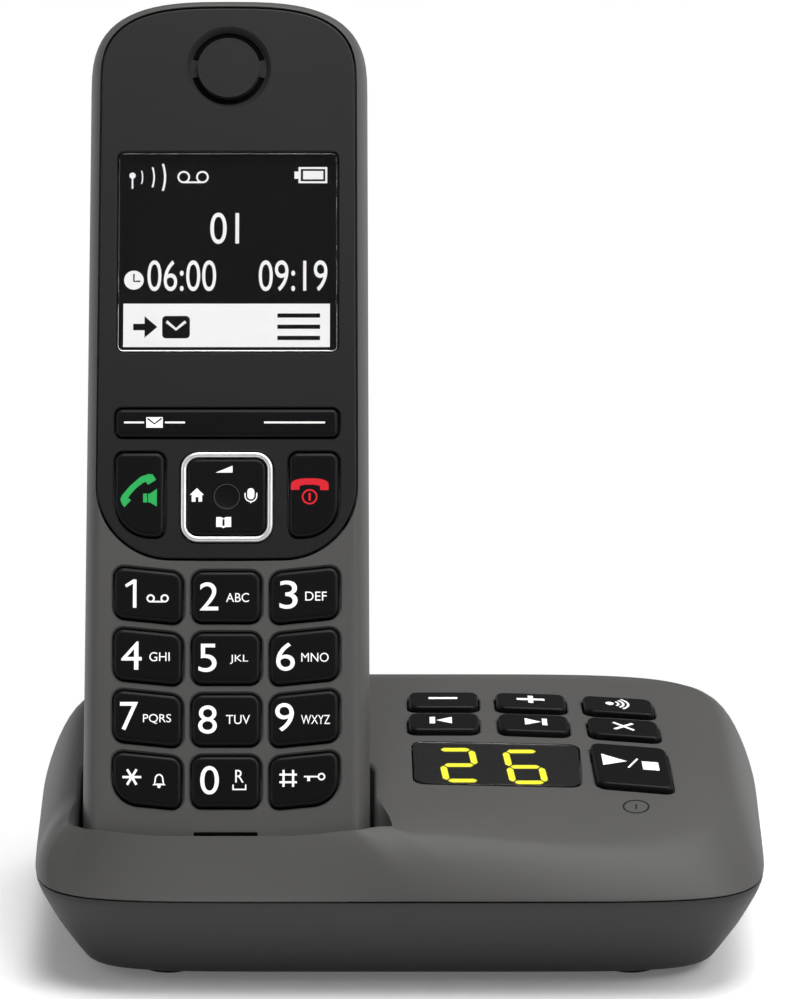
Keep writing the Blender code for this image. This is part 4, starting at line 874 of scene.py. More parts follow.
def curve_through(points, steps):
    """Smooth points through a list of pairs."""
    made = []
    for number in range(len(points) - 1):
        before, here = points[max(number - 1, 0)], points[number]
        there, after = points[number + 1], points[min(number + 2, len(points) - 1)]
        for step in range(steps):
            t = step / steps
            made.append(tuple(
                0.5 * (2 * b + (c - a) * t + (2 * a - 5 * b + 4 * c - d) * t * t + (3 * b - a - 3 * c + d) * t ** 3)
                for a, b, c, d in zip(before, here, there, after)))
    return made + [points[-1]]


def plan(inset, front_inset):
    """The base's plan at an inset, its points crowded into the corners."""
    turns = [math.tau * number / PLAN_POINTS for number in range(PLAN_POINTS)]
    return [superellipse(BASE_WIDTH / 2 - inset, BASE_DEPTH / 2 - front_inset, RIM_POWER,
                         turn - CORNER_CROWDING * math.sin(4 * turn)) for turn in turns]


def tub(inset, floor):
    """Rings of the tub's skin from its rim down, with the rim's edge eased."""
    rim = SEAM - GAP
    rings = [[(u, v, rim - drop) for u, v in plan(inset + ease, inset + ease)] for ease, drop in RIM_STEPS]
    for share, drop in curve_through(PROFILE_SHARES, PROFILE_STEPS)[1:]:
        level = rim - RIM_EASE + (floor - rim + RIM_EASE) * drop
        rings.append([(u, v, level) for u, v in plan(inset + LOWER_SIDE * share, inset + LOWER_FRONT * share)])
    return rings


rings = tub(0.0, FOOT_HEIGHT)[::-1] + tub(LOWER_WALL, FOOT_HEIGHT + LOWER_WALL)[len(RIM_STEPS):]
lower = loft("base_lower_shell_dressed", [[in_base(*point) for point in ring] for ring in rings])
print("lower shell", len(rings), "rings")

# %% Openings of the lower shell
SPEAKER_ACROSS, SPEAKER_BACK = 0.0230, -0.0100
SPEAKER_SLOTS, SPEAKER_PITCH, SPEAKER_SLOT = 5, 0.0040, (0.0016, 0.0200, 0.00079)
FLOOR_LIMITS = ((0.0, 0.0), (0.0, 0.0040))
SOCKET_CUT_BACK = 0.06
SCREW_STEPS = (("_sink", 0.0029, 0.0025), ("_hole", 0.0015, 0.0040))
DRUM_SIDES = 48


def block(name, low, high):
    """A cube stretched between two corners."""
    release()
    bpy.ops.mesh.primitive_cube_add(size=1.0)
    piece = named(bpy.context.object, name)
    for vert in piece.data.vertices:
        vert.co = [high[axis] if vert.co[axis] > 0 else low[axis] for axis in range(3)]
    return piece


def drum(name, radius, height, across, back):
    """An upright cylinder that stands on the floor."""
    release()
    bpy.ops.mesh.primitive_cylinder_add(vertices=DRUM_SIDES, radius=radius, depth=height)
    piece = named(bpy.context.object, name)
    for vert in piece.data.vertices:
        vert.co = vert.co + Vector((across, back, height / 2))
    return piece


openings = []
for number in range(SPEAKER_SLOTS):
    across = SPEAKER_ACROSS + (number - (SPEAKER_SLOTS - 1) / 2) * SPEAKER_PITCH
    openings.append(stack("speaker_slot", rounded(*SPEAKER_SLOT, (across, SPEAKER_BACK)), in_base, FLOOR_LIMITS))
for name in ("line_socket", "power_socket"):
    low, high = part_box(name)
    openings.append(block(name + "_opening", (low.x - GAP, low.y - GAP, low.z - GAP),
                          (high.x + GAP, SOCKET_CUT_BACK, high.z + GAP)))
for name in ("base_screw_left", "base_screw_right"):
    low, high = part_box(name)
    openings += [drum(name + step, radius, height, (low.x + high.x) / 2, (low.y + high.y) / 2)
                 for step, radius, height in SCREW_STEPS]
cut(lower, openings)
finish_piece(lower, "base", "lower_grey", "base_lower_shell")

# %% [markdown]
# ## The handset's shells
# The handset is a front half and a rear half that meet at a parting line on its sides. Each half is a stack of
# the same outline, drawn in as it rounds over. The outline has an arch at the top and a flatter one at the
# foot, joined by sides that taper a little.

# %% Handset outline
HANDSET_LENGTH, TOP_WIDTH = 0.1576, 0.0483
TOP_ARCH, TOP_POWER = 0.0160, 3.0
ARCH_POINTS, SIDE_POINTS = 18, 16
PARTING = 0.0095
WAIST = 0.5393 * HANDSET_LENGTH
FOOT_THICK, WAIST_THICK, HEAD_THICK = 0.0215, 0.0285, 0.0210
SKIN_STEPS = 10


def quarter(start=0.0):
    """Angles of a quarter turn."""
    return [start + math.pi / 2 * step / ARCH_POINTS for step in range(ARCH_POINTS + 1)]


def quarter_arch(half_u, rise, power, level, start=0.0):
    """A quarter of a superellipse whose middle stands at a level."""
    points = [superellipse(half_u, rise, power, angle) for angle in quarter(start)]
    return [(u, level + v) for u, v in points]


def both_sides(right):
    """The right half of an outline with its mirror image."""
    return right + [(-u, v) for u, v in reversed(right[1:-1])]


def handset_outline(inset):
    half_foot, half_top = HANDSET_WIDTH / 2, TOP_WIDTH / 2
    share = (half_foot - inset) / half_foot
    foot_arch, top_arch = FOOT_ARCH * share, TOP_ARCH * share
    low, high = inset + foot_arch, HANDSET_LENGTH - inset - top_arch
    right = quarter_arch(half_foot - inset, foot_arch, FOOT_POWER, low, -math.pi / 2)
    for step in range(1, SIDE_POINTS):
        mix = step / SIDE_POINTS
        right.append((half_foot + (half_top - half_foot) * mix - inset, low + (high - low) * mix))
    return both_sides(right + quarter_arch(half_top - inset, top_arch, TOP_POWER, high))


def rear_depth(up):
    """Thickness of the handset at a place above its foot."""
    if up < WAIST:
        return FOOT_THICK + (WAIST_THICK - FOOT_THICK) * smooth_step(up, 0.0, WAIST)
    return WAIST_THICK + (HEAD_THICK - WAIST_THICK) * smooth_step(up, WAIST, HANDSET_LENGTH)


def skin(inset, rim, crown, rounding, steps=SKIN_STEPS):
    """Rings from the parting to where the face becomes flat."""
    rings = []
    for step in range(steps + 1):
        angle = math.pi / 2 * step / steps
        rings.append([(u, v, rim + (crown(v) - rim) * math.sin(angle))
                      for u, v in handset_outline(inset + rounding * (1 - math.cos(angle)))])
    return rings


def level_ring(inset, deep):
    """The handset's outline at one inset and one depth."""
    return [(u, v, deep) for u, v in handset_outline(inset)]


def half_rings(outside, inside, parting, ease):
    """One half as moulded: its skin, its rim with an eased edge, and its inner wall."""
    outside[0] = level_ring(0.0, parting + ease)
    return stand(outside[::-1] + [level_ring(abs(ease), parting)] + inside)


print("handset outline has", len(handset_outline(0.0)), "points")

# %% Front shell
FACE_ROUND, HANDSET_WALL = 0.0026, 0.0018
PARTING_EASE = 0.0002
outside = skin(0.0, PARTING, lambda up: 0.0, FACE_ROUND)
inside = skin(HANDSET_WALL, PARTING, lambda up: HANDSET_WALL, FACE_ROUND)
front = loft("handset_front_shell_dressed", half_rings(outside, inside, PARTING, -PARTING_EASE))
print("front shell closed")


# %% [markdown]
# The face is opened for twelve keys, for the dark fascia and for the microphone. These cutters broaden at the
# surface like the ones of the base, so every opening keeps a broken edge that catches light.

# %% Openings of the front shell
KEY_WIDTH, KEY_CORNER, OUTER_KEY_CORNER = 0.01173333, 0.0018, 0.0042
KEY_PITCH_ACROSS = KEY_WIDTH + 0.0017
FASCIA_FOOT = 0.3585 * HANDSET_LENGTH
FIRST_ROW, LAST_ROW_BELOW = 0.1098 * HANDSET_LENGTH, 0.0068
KEY_PITCH_UP = (FASCIA_FOOT - LAST_ROW_BELOW - FIRST_ROW) / 3
KEY_HEIGHT = KEY_PITCH_UP - 0.0019
KEY_SLANT = 0.0006
KEYPAD = (("key_star", "key_0", "key_hash"), ("key_7", "key_8", "key_9"),
          ("key_4", "key_5", "key_6"), ("key_1", "key_2", "key_3"))
KEYPAD_PLACES = {name: (column, row) for row, names in enumerate(KEYPAD) for column, name in zip((-1, 0, 1), names)}
FASCIA_SIDE, FASCIA_TOP, FASCIA_CORNER, FASCIA_ARCH = 0.0022, 0.0028, 0.0125, 0.0140
FASCIA_FLAT, FASCIA_LIFT = 0.2, 0.0004
FASCIA_GROW, FASCIA_BREAK, FASCIA_SEAT = 0.0004, 0.0002, 0.0024
OPENING_BREAK, OPENING_DEPTH = 0.0003, 0.0045
SLIT = (0.0110, 0.0006, 0.00029, (0.0, 0.0082))
SLIT_BREAK, SLIT_DEPTH = 0.0001, 0.0040


def keypad_outline(name, grow):
    """A keypad key's outline; the outer columns slant up outwards."""
    column, row = KEYPAD_PLACES[name]
    radii = [KEY_CORNER + grow] * 4
    if row == 0 and column:
        radii[0 if column > 0 else 3] = OUTER_KEY_CORNER + grow
    centre = (column * KEY_PITCH_ACROSS, FIRST_ROW + row * KEY_PITCH_UP)
    return rounded(KEY_WIDTH + 2 * grow, KEY_HEIGHT + 2 * grow, radii, centre,
                   shift=lambda u, v: (u, v + KEY_SLANT * column * u / (KEY_WIDTH / 2) + KEY_SLANT / 2 * abs(column)))


def face_sheet(u, v, lift):
    """The handset's face as a sheet: across, up and proud of it."""
    return in_handset(u, v, -lift)


def half_width(up):
    share = (up - FOOT_ARCH) / (HANDSET_LENGTH - TOP_ARCH - FOOT_ARCH)
    return (HANDSET_WIDTH + (TOP_WIDTH - HANDSET_WIDTH) * min(max(share, 0.0), 1.0)) / 2


def fascia_outline(inset):
    """The dark fascia's outline, from the middle of its foot."""
    half = HANDSET_WIDTH / 2 - FASCIA_SIDE - inset
    radius, foot = FASCIA_CORNER - inset, FASCIA_FOOT + inset
    arch = FASCIA_ARCH * half / (half + inset)
    high = HANDSET_LENGTH - FASCIA_TOP - inset - arch
    right = [(0.0, foot), (half * FASCIA_FLAT, foot)]
    for angle in quarter():
        u, v = half - radius + radius * math.sin(angle), foot + radius - radius * math.cos(angle)
        right.append((u, v + FASCIA_LIFT * (u / half) ** 2))
    for step in range(1, SIDE_POINTS):
        right.append((half, foot + radius + (high - foot - radius) * step / SIDE_POINTS))
    right += quarter_arch(half, arch, TOP_POWER, high)
    return both_sides([(u * (half_width(v) - FASCIA_SIDE - inset) / half, v) for u, v in right])


cutters = [cutter(name, keypad_outline(name, GAP), face_sheet, 0.0, OPENING_BREAK, OPENING_DEPTH)
           for name in KEYPAD_PLACES]
cutters.append(cutter("fascia", lambda inset: fascia_outline(inset - FASCIA_GROW), face_sheet,
                      0.0, FASCIA_BREAK, FASCIA_SEAT))
cutters.append(cutter("slit", rounded(*SLIT), face_sheet, 0.0, SLIT_BREAK, SLIT_DEPTH))
cut(front, cutters)
finish_piece(front, "handset", "shell_grey", "handset_front_shell")


# %% [markdown]
# The rear half bellies out at the waist, where the cells are, and is rounded much more than the face. Its door
# lies in a recess of its own outline, and four slots let the ringer be heard. The door is a piece of the same
# skin, cut out with the door's outline, so that the two always meet without a step.

# %% Rear half and the solids that cut it
REAR_ROUND, REAR_STEPS = 0.0085, 16
CLOSING_SHARES = (0.35, 0.65, 0.85, 0.96)
CLOSING_WELD = 0.000002
DOOR_WIDTH, DOOR_LENGTH, DOOR_MIDDLE, DOOR_CORNER = 0.0300, 0.0500, 0.4283 * HANDSET_LENGTH, 0.0040
BAY_FLOOR, BAY_WALL, BAY_BACK = 0.0090, 0.0012, 0.0375
BAY_WIDTH, BAY_LENGTH, BEHIND = 0.0215, 0.0454, 0.0400
RINGER_PLACE, RINGER_SLOTS, RINGER_PITCH = 0.7487 * HANDSET_LENGTH, 4, 0.0026
RINGER_SLOT, RINGER_DEPTH = (0.0090, 0.0010, 0.00049), 0.0090
PAD_OFFSET, PAD_SLOT = 0.0090, 0.0042
PAD_UP, PAD_MIDDLE, PAD_THICK = (-0.0036, 0.0036), 0.0125, 0.0046


def rear_skin(inset, wall, steps=SKIN_STEPS):
    """Rings of the rear skin from the parting to a closing line along its middle."""
    rings = skin(inset, PARTING + GAP, lambda up: rear_depth(up) - wall, REAR_ROUND, steps)
    span = TOP_WIDTH / 2 - inset - REAR_ROUND
    for share in CLOSING_SHARES:
        rings.append([(u, v, rear_depth(v) - wall) for u, v in handset_outline(inset + REAR_ROUND + span * share)])
    rings.append([(0.0, v, deep) for u, v, deep in rings[-1]])
    return rings


def rear_half(name):
    """The rear half as moulded, with both sides of each closing line welded."""
    rings = half_rings(rear_skin(0.0, 0.0, REAR_STEPS), rear_skin(HANDSET_WALL, HANDSET_WALL),
                       PARTING + GAP, PARTING_EASE)
    return face_outwards(loft(name, rings, first_cap=False, last_cap=False), CLOSING_WELD)


def rear_core(name, sunk):
    """A solid that fills the rear half up to a depth below its back."""
    start = [level_ring(2 * HANDSET_WALL, BAY_FLOOR - BAY_WALL)]
    return face_outwards(loft(name, stand(rear_skin(sunk, sunk)[::-1] + start), first_cap=False), CLOSING_WELD)


def handset_block(name, across, up, deep):
    """A cube stretched between two limits in each of the handset's measures."""
    piece = block(name, *zip(across, up, deep))
    for vert in piece.data.vertices:
        vert.co = in_handset(*vert.co)
    return face_outwards(piece)


def door_prism(name, grow):
    outline = rounded(DOOR_WIDTH, DOOR_LENGTH, DOOR_CORNER, (0.0, DOOR_MIDDLE))
    return stack(name, outline, in_handset, ((-grow, BAY_FLOOR), (-grow, BEHIND)))


def around(middle, size):
    return middle - size / 2, middle + size / 2


rear = rear_half("handset_rear_shell_dressed")
bay = handset_block("bay_block", around(0.0, DOOR_WIDTH + 2 * BAY_WALL),
                    around(DOOR_MIDDLE, DOOR_LENGTH + 2 * BAY_WALL), (BAY_FLOOR, BAY_BACK))
cut(bay, [rear_core("bay_core", HANDSET_WALL / 2)], "INTERSECT")
cut(rear, [bay], "UNION")
hollows = [cut(door_prism("door_recess", GAP), [rear_core("door_seat", HANDSET_WALL + GAP)]),
           handset_block("cell_bay", around(0.0, BAY_WIDTH), around(DOOR_MIDDLE, BAY_LENGTH),
                         (BAY_FLOOR + BAY_WALL, BEHIND))]
for number in range(RINGER_SLOTS):
    place = RINGER_PLACE + (number - (RINGER_SLOTS - 1) / 2) * RINGER_PITCH
    hollows.append(stack("ringer_slot", rounded(*RINGER_SLOT, (0.0, place)), in_handset,
                         [(0.0, deep) for deep in around(rear_depth(place), RINGER_DEPTH)]))
for side in (-1, 1):
    hollows.append(handset_block("pad_slot", around(side * PAD_OFFSET, PAD_SLOT), PAD_UP,
                                 around(PAD_MIDDLE, PAD_THICK)))
cut(rear, hollows)
finish_piece(rear, "handset", "shell_grey", "handset_rear_shell")

# %% Battery door
GRIP_COUNT, GRIP_PITCH, GRIP_START = 5, 0.0022, 0.0050
GRIP_WIDTH, GRIP_STEP, GRIP_HEIGHT, GRIP_CORNER = 0.0120, 0.0010, 0.0009, 0.00044
GRIP_STEPS = ((-0.0004, 0.0006), (0.0, 0.0), (0.0003, -0.0003))
door = cut(rear_half("battery_door_dressed"), [door_prism("door_edge", 0.0)], "INTERSECT")
grips = []
for number in range(GRIP_COUNT):
    place = DOOR_MIDDLE - DOOR_LENGTH / 2 + GRIP_START + number * GRIP_PITCH
    width = GRIP_WIDTH - GRIP_STEP * abs(number - GRIP_COUNT // 2)
    grips.append(stack("grip", rounded(width, GRIP_HEIGHT, GRIP_CORNER, (0.0, place)), in_handset,
                       [(inset, rear_depth(place) + level) for inset, level in GRIP_STEPS]))
cut(door, grips)
finish_piece(door, "battery_door", "shell_grey", "battery_door")

# %% [markdown]
# ## The fascia
# A satin black plate fills the upper face. It frames the window, the rocker bar and the call keys, and a ring
# slot in a shallow dish lets the earpiece speak. Two bridges hold the disc in the middle of the ring.

# %% Slab helper and the fascia's measures
EDGE_END = 1.25
PROUD, FASCIA_BACK = 0.0002, 0.0015
WINDOW_PLACE, WINDOW_HEIGHT = 0.7043 * HANDSET_LENGTH, 0.0354
SOFTKEY_PLACE, SOFTKEY_HEIGHT = 0.5102 * HANDSET_LENGTH, 0.0050
CALL_WIDTH, CALL_ABOVE, CALL_BELOW = 0.0085, 0.00275, 0.00375
CALL_CORNER, CALL_SWEEP = 0.0015, 0.0062
NAV_BESIDE, NAV_ABOVE, NAV_BELOW = 0.00285, 0.0027, 0.0029
NAV_RADIUS, RING_WIDTH = 0.0030, 0.0009


def soft_slab(name, outline, place, near, far, edge, steps=5):
    """A slab between two depths whose outer edge is rolled over; place turns across, up and deep to the room."""
    levels = [(0.0, far), (0.0, near + edge)]
    for step in range(1, steps + 1):
        turn = math.pi / 2 * step / steps
        levels.append((edge * (1 - math.cos(turn)), near + edge * (1 - math.sin(turn))))
    return stack(name, outline, place, levels + [(edge * EDGE_END, near)])


def call_outline(side, grow):
    """A call key's outline, swept at its outer lower corner."""
    radii = [CALL_CORNER + grow] * 4
    radii[3 if side < 0 else 0] = CALL_SWEEP + grow
    return rounded(CALL_WIDTH + 2 * grow, CALL_HEIGHT + 2 * grow, radii, (side * CALL_OFFSET, CALL_PLACE))


window_low, window_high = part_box("handset_display_window")
WINDOW_WIDTH = window_high.x - window_low.x
soft_low, soft_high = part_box("softkey_bar")
SOFTKEY_WIDTH = soft_high.x - soft_low.x
talk_low, talk_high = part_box("talk_key")
CALL_OFFSET = HANDSET_MIDDLE - (talk_low.x + talk_high.x) / 2
CALL_HEIGHT = SOFTKEY_PLACE - SOFTKEY_HEIGHT / 2 - CALL_ABOVE - CALL_BELOW - FASCIA_FOOT
CALL_PLACE = FASCIA_FOOT + CALL_BELOW + CALL_HEIGHT / 2
NAV_WIDTH = 2 * (CALL_OFFSET - CALL_WIDTH / 2 - NAV_BESIDE)
NAV_HEIGHT = SOFTKEY_PLACE - SOFTKEY_HEIGHT / 2 - NAV_ABOVE - NAV_BELOW - FASCIA_FOOT
NAV_PLACE = FASCIA_FOOT + NAV_BELOW + NAV_HEIGHT / 2
print("call keys are", CALL_HEIGHT, "tall")

# %% Fascia
HOLE_BREAK, HOLE_DEPTH = 0.00018, 0.0030
EARPIECE_PLACE, EARPIECE_SIDES = 0.9143 * HANDSET_LENGTH, 96
SLOT_INNER, SLOT_OUTER, SLOT_STEPS = 0.0055, 0.0065, 40
BRIDGE = 0.0031 / 2 / 0.0060
SLOT_LIMITS = ((0.0, -0.0010), (0.0, 0.0040))
DISH = ((0.00535, -0.0010), (0.00535, 0.0007), (0.0066, 0.0007), (0.0075, -0.00026), (0.0078, -0.0010))
CLOTH = ((0.0054, 0.0013), (0.0054, 0.0010), (0.0066, 0.0010), (0.0066, 0.0013))


def ring_slice(start, end):
    """A slice of the ring slot as an outline, bent round the earpiece's middle."""
    centre = (0.0, EARPIECE_PLACE)
    ring = arc(centre, SLOT_OUTER, start, end, SLOT_STEPS) + arc(centre, SLOT_INNER, start, end, SLOT_STEPS)[::-1]
    return lambda inset: ring


def earpiece_ring(name, profile):
    """A ring round the earpiece's middle, from a profile of radius and depth."""
    return stack(name, lambda radius: circle((0.0, EARPIECE_PLACE), radius, EARPIECE_SIDES), in_handset, profile,
                 joined=True)


fascia = soft_slab("handset_fascia_dressed", fascia_outline, in_handset, -PROUD, FASCIA_BACK, PROUD, 3)
holes = {
    "window": rounded(WINDOW_WIDTH + 2 * GAP, WINDOW_HEIGHT + 2 * GAP, 0.0012, (0.0, WINDOW_PLACE)),
    "softkey": rounded(SOFTKEY_WIDTH + 2 * GAP, SOFTKEY_HEIGHT + 2 * GAP, 0.0014, (0.0, SOFTKEY_PLACE)),
    "talk": call_outline(-1, GAP), "end": call_outline(1, GAP),
    "nav": rounded(NAV_WIDTH + 2 * GAP, NAV_HEIGHT + 2 * GAP, NAV_RADIUS + GAP, (0.0, NAV_PLACE))}
cut(fascia, [cutter(name, outline, face_sheet, PROUD, HOLE_BREAK, HOLE_DEPTH) for name, outline in holes.items()])
cut(fascia, [stack("earpiece_slot", ring_slice(start, start + math.pi - 2 * BRIDGE), in_handset, SLOT_LIMITS)
             for start in (BRIDGE, BRIDGE + math.pi)])
cut(fascia, [earpiece_ring("earpiece_dish", DISH)])
finish_piece(fascia, "handset", "fascia_black", "handset_fascia")
finish_piece(earpiece_ring("earpiece_cloth", CLOTH), "handset", None, material=FINISHES["cloth_black"])


# %% [markdown]
# ## The keys
# Every key is a pad of hard black plastic with rolled edges that stands a little proud of its opening. The
# rolled edge is what shows in the photograph as a soft grey line round each black top, so it gets five rings.

# %% Handset keys
KEY_PROUD, KEY_SUNK, KEY_ROLL = 0.0006, 0.0016, 0.0007
NAV_SUNK, NAV_ROLL = KEY_SUNK - 0.0004, 0.0005


def handset_key(node, outline):
    key = soft_slab(node + "_dressed", outline, in_handset, -KEY_PROUD, KEY_SUNK, KEY_ROLL)
    finish_piece(key, node, SLOTS[node], node)


for name in KEYPAD_PLACES:
    handset_key(name, keypad_outline(name, 0.0))
handset_key("talk_key", call_outline(-1, 0.0))
handset_key("end_key", call_outline(1, 0.0))
handset_key("softkey_bar", rounded(SOFTKEY_WIDTH, SOFTKEY_HEIGHT, 0.0011, (0.0, SOFTKEY_PLACE)))
nav_pad = soft_slab("nav_pad_dressed", rounded(
    NAV_WIDTH - 2 * (RING_WIDTH + GAP), NAV_HEIGHT - 2 * (RING_WIDTH + GAP), NAV_RADIUS - RING_WIDTH - GAP,
    (0.0, NAV_PLACE)), in_handset, -KEY_PROUD, NAV_SUNK, NAV_ROLL)

# %% [markdown]
# The four-way key has a thumb dimple in its middle. A flattened ball, pressed into the pad and taken away
# again, leaves it. The bright ring round the pad is a loft whose last ring is bridged back to its first.

# %% Dimple and bright ring
DIMPLE_RADIUS, DIMPLE_DEPTH, DIMPLE_PLACE = 0.00215, 0.00014, 0.0673
RING_SHOULDER, RING_CROWN, RING_STEPS = -KEY_PROUD + 0.00025, 0.00030, 8
release()
bpy.ops.mesh.primitive_uv_sphere_add(segments=48, ring_count=24, radius=1.0)
ball = named(bpy.context.object, "dimple_ball")
for vert in ball.data.vertices:
    vert.co = in_handset(vert.co.x * DIMPLE_RADIUS, DIMPLE_PLACE + vert.co.y * DIMPLE_RADIUS,
                         -KEY_PROUD - vert.co.z * DIMPLE_DEPTH)
cut(nav_pad, [face_outwards(ball)])
finish_piece(nav_pad, "nav_key", "key_black", "nav_pad")

half_ring = RING_WIDTH / 2
turns = [math.pi * step / RING_STEPS for step in range(1, RING_STEPS + 1)]
profile = [(0.0, NAV_SUNK), (0.0, RING_SHOULDER)]
profile += [(half_ring - half_ring * math.cos(turn), RING_SHOULDER - RING_CROWN * math.sin(turn)) for turn in turns]
profile.append((RING_WIDTH, NAV_SUNK))
nav_ring = stack("nav_ring_dressed", rounded(NAV_WIDTH, NAV_HEIGHT, NAV_RADIUS, (0.0, NAV_PLACE)), in_handset,
                 profile, joined=True)
finish_piece(nav_ring, "nav_key", "bright_ring", "nav_ring")

# %% Base keys
BASE_KEY_PROUD, BASE_KEY_SUNK, BASE_KEY_ROLL = 0.0010, 0.0018, 0.0006


def under(sheet):
    """A sheet whose last measure counts deep instead of proud."""
    return lambda u, v, deep: sheet(u, v, -deep)


for name, (column, row, size) in BASE_KEYS.items():
    key = soft_slab(name + "_dressed", panel_outline(column, size, BASE_KEY_CORNER), under(panel_sheet(column, row)),
                    -BASE_KEY_PROUD, BASE_KEY_SUNK, BASE_KEY_ROLL)
    finish_piece(key, name, "key_black", name)

# %% [markdown]
# ## The windows
# The handset's window is a clear polished plate over a dark display. The counter's window is a thin smoky
# plate over a black mask, through which the two lit digits show. Both plates get a fine broken edge, because
# a glass-like slab with sharp edges never shows the bright line that tells the eye how thick it is.

# %% Window plates
WINDOW_CORNER, WINDOW_THICK, WINDOW_EDGE = 0.0009, 0.0008, 0.0002
PLATE_LIMITS, MASK_LIMITS, PLATE_EDGE = (0.0, 0.0003), (0.00036, 0.0012), 0.0001
window = soft_slab("handset_window_dressed", rounded(WINDOW_WIDTH, WINDOW_HEIGHT, WINDOW_CORNER, (0.0, WINDOW_PLACE)),
                   in_handset, -PROUD, WINDOW_THICK, WINDOW_EDGE, 3)
finish_piece(window, "handset", "window_black", "handset_display_window")
counter_outline = panel_outline(COUNTER_COLUMN, COUNTER_SIZE, COUNTER_CORNER)
plate = soft_slab("counter_window_dressed", counter_outline, under(counter_sheet), *PLATE_LIMITS, PLATE_EDGE, 2)
finish_piece(plate, "base", "window_black", "base_display_window", material=smoky_window)
mask = soft_slab("counter_mask", counter_outline, under(counter_sheet), *MASK_LIMITS, PLATE_EDGE, 2)
finish_piece(mask, "base", "display_black")

# %% [markdown]
# ## Printing
# Legends are printed on the keys. Words are text objects and the pictures are flat curves: both are turned
# into meshes in millimetres first, and only then laid on the key's own sheet, so they follow its slope.

# %% Flat shapes
MM = 0.001
INK_THICKNESS, TEXT_EXTRUSION, PRINT_WELD, PRINT_ANGLE = 0.012, 0.05, 0.0000001, 20.0
BOW_STEPS, DOT_SIDES = 24, 32


def strip(points, width):
    """The outline of a line of some width through points."""
    left, right = [], []
    for number, (x, y) in enumerate(points):
        before = points[max(number - 1, 0)]
        after = points[min(number + 1, len(points) - 1)]
        along = Vector((after[0] - before[0], after[1] - before[1])).normalized()
        side = Vector((-along.y, along.x)) * width / 2
        left.append((x + side.x, y + side.y))
        right.append((x - side.x, y - side.y))
    return [left + right[::-1]]


def bow(centre, radius, start, end, width):
    """A thick arc between two angles in degrees."""
    return strip(arc(centre, radius, math.radians(start), math.radians(end), BOW_STEPS), width)


def dot(centre, radius, hole=0.0):
    """A disc, or a ring where it has a hole."""
    return [circle(centre, size, DOT_SIDES) for size in ((radius, hole) if hole else (radius,))]


def rect(x0, y0, x1, y1):
    return [[(x0, y0), (x1, y0), (x1, y1), (x0, y1)]]


def arch(centre, half_u, half_v, power, steps):
    """The upper half of a superellipse, from left to right."""
    points = [superellipse(half_u, half_v, power, math.pi - math.pi * step / steps) for step in range(steps + 1)]
    return [(centre[0] + u, centre[1] + v) for u, v in points]


print("flat shapes ready")


# %% Print helper
def stamp_shape(loops):
    """A filled flat curve as a mesh."""
    curve = bpy.data.curves.new("stamp", "CURVE")
    curve.dimensions, curve.fill_mode, curve.extrude = "2D", "BOTH", INK_THICKNESS / 2
    for loop in loops:
        spline = curve.splines.new("POLY")
        spline.points.add(len(loop) - 1)
        for point, (x, y) in zip(spline.points, loop):
            point.co = (x, y, 0.0, 1.0)
        spline.use_cyclic_u = True
    stamp = bpy.data.objects.new("stamp", curve)
    bpy.context.collection.objects.link(stamp)
    pick(stamp)
    bpy.ops.object.convert(target="MESH")
    return bpy.context.object


def stamp_text(words, centre, size):
    """Words as a mesh that fills a box of that width and height round a centre."""
    release()
    bpy.ops.object.text_add()
    text = bpy.context.object
    text.data.body, text.data.extrude = words, TEXT_EXTRUSION
    bpy.ops.object.convert(target="MESH")
    stamp = bpy.context.object
    xs = [vert.co.x for vert in stamp.data.vertices]
    ys = [vert.co.y for vert in stamp.data.vertices]
    middle = ((min(xs) + max(xs)) / 2, (min(ys) + max(ys)) / 2)
    for vert in stamp.data.vertices:
        vert.co = ((vert.co.x - middle[0]) * size[0] / (max(xs) - min(xs)) + centre[0],
                   (vert.co.y - middle[1]) * size[1] / (max(ys) - min(ys)) + centre[1],
                   vert.co.z * INK_THICKNESS / (2 * TEXT_EXTRUSION))
    return stamp


def print_on(name, shapes, sheet, lift, material, body, words=()):
    """Stamp words and shapes drawn in millimetres, join them and lay them on a sheet."""
    stamps = [stamp_text(*word) for word in words] + [stamp_shape(loops) for loops in shapes]
    pick(*stamps)
    if len(stamps) > 1:
        bpy.ops.object.join()
    piece = named(bpy.context.object, name)
    for vert in piece.data.vertices:
        vert.co = sheet(vert.co.x * MM, vert.co.y * MM, lift + (vert.co.z + INK_THICKNESS / 4) * MM)
    finish_piece(face_outwards(piece, PRINT_WELD), body, None, material=material, angle=PRINT_ANGLE)


print("print helper ready")

# %% [markdown]
# ## Keypad legends
# The digit stands left of the key's middle and its letters to the right of it. Sizes are those seen in the
# photograph: digits just under five millimetres tall and letters about a millimetre and a half.

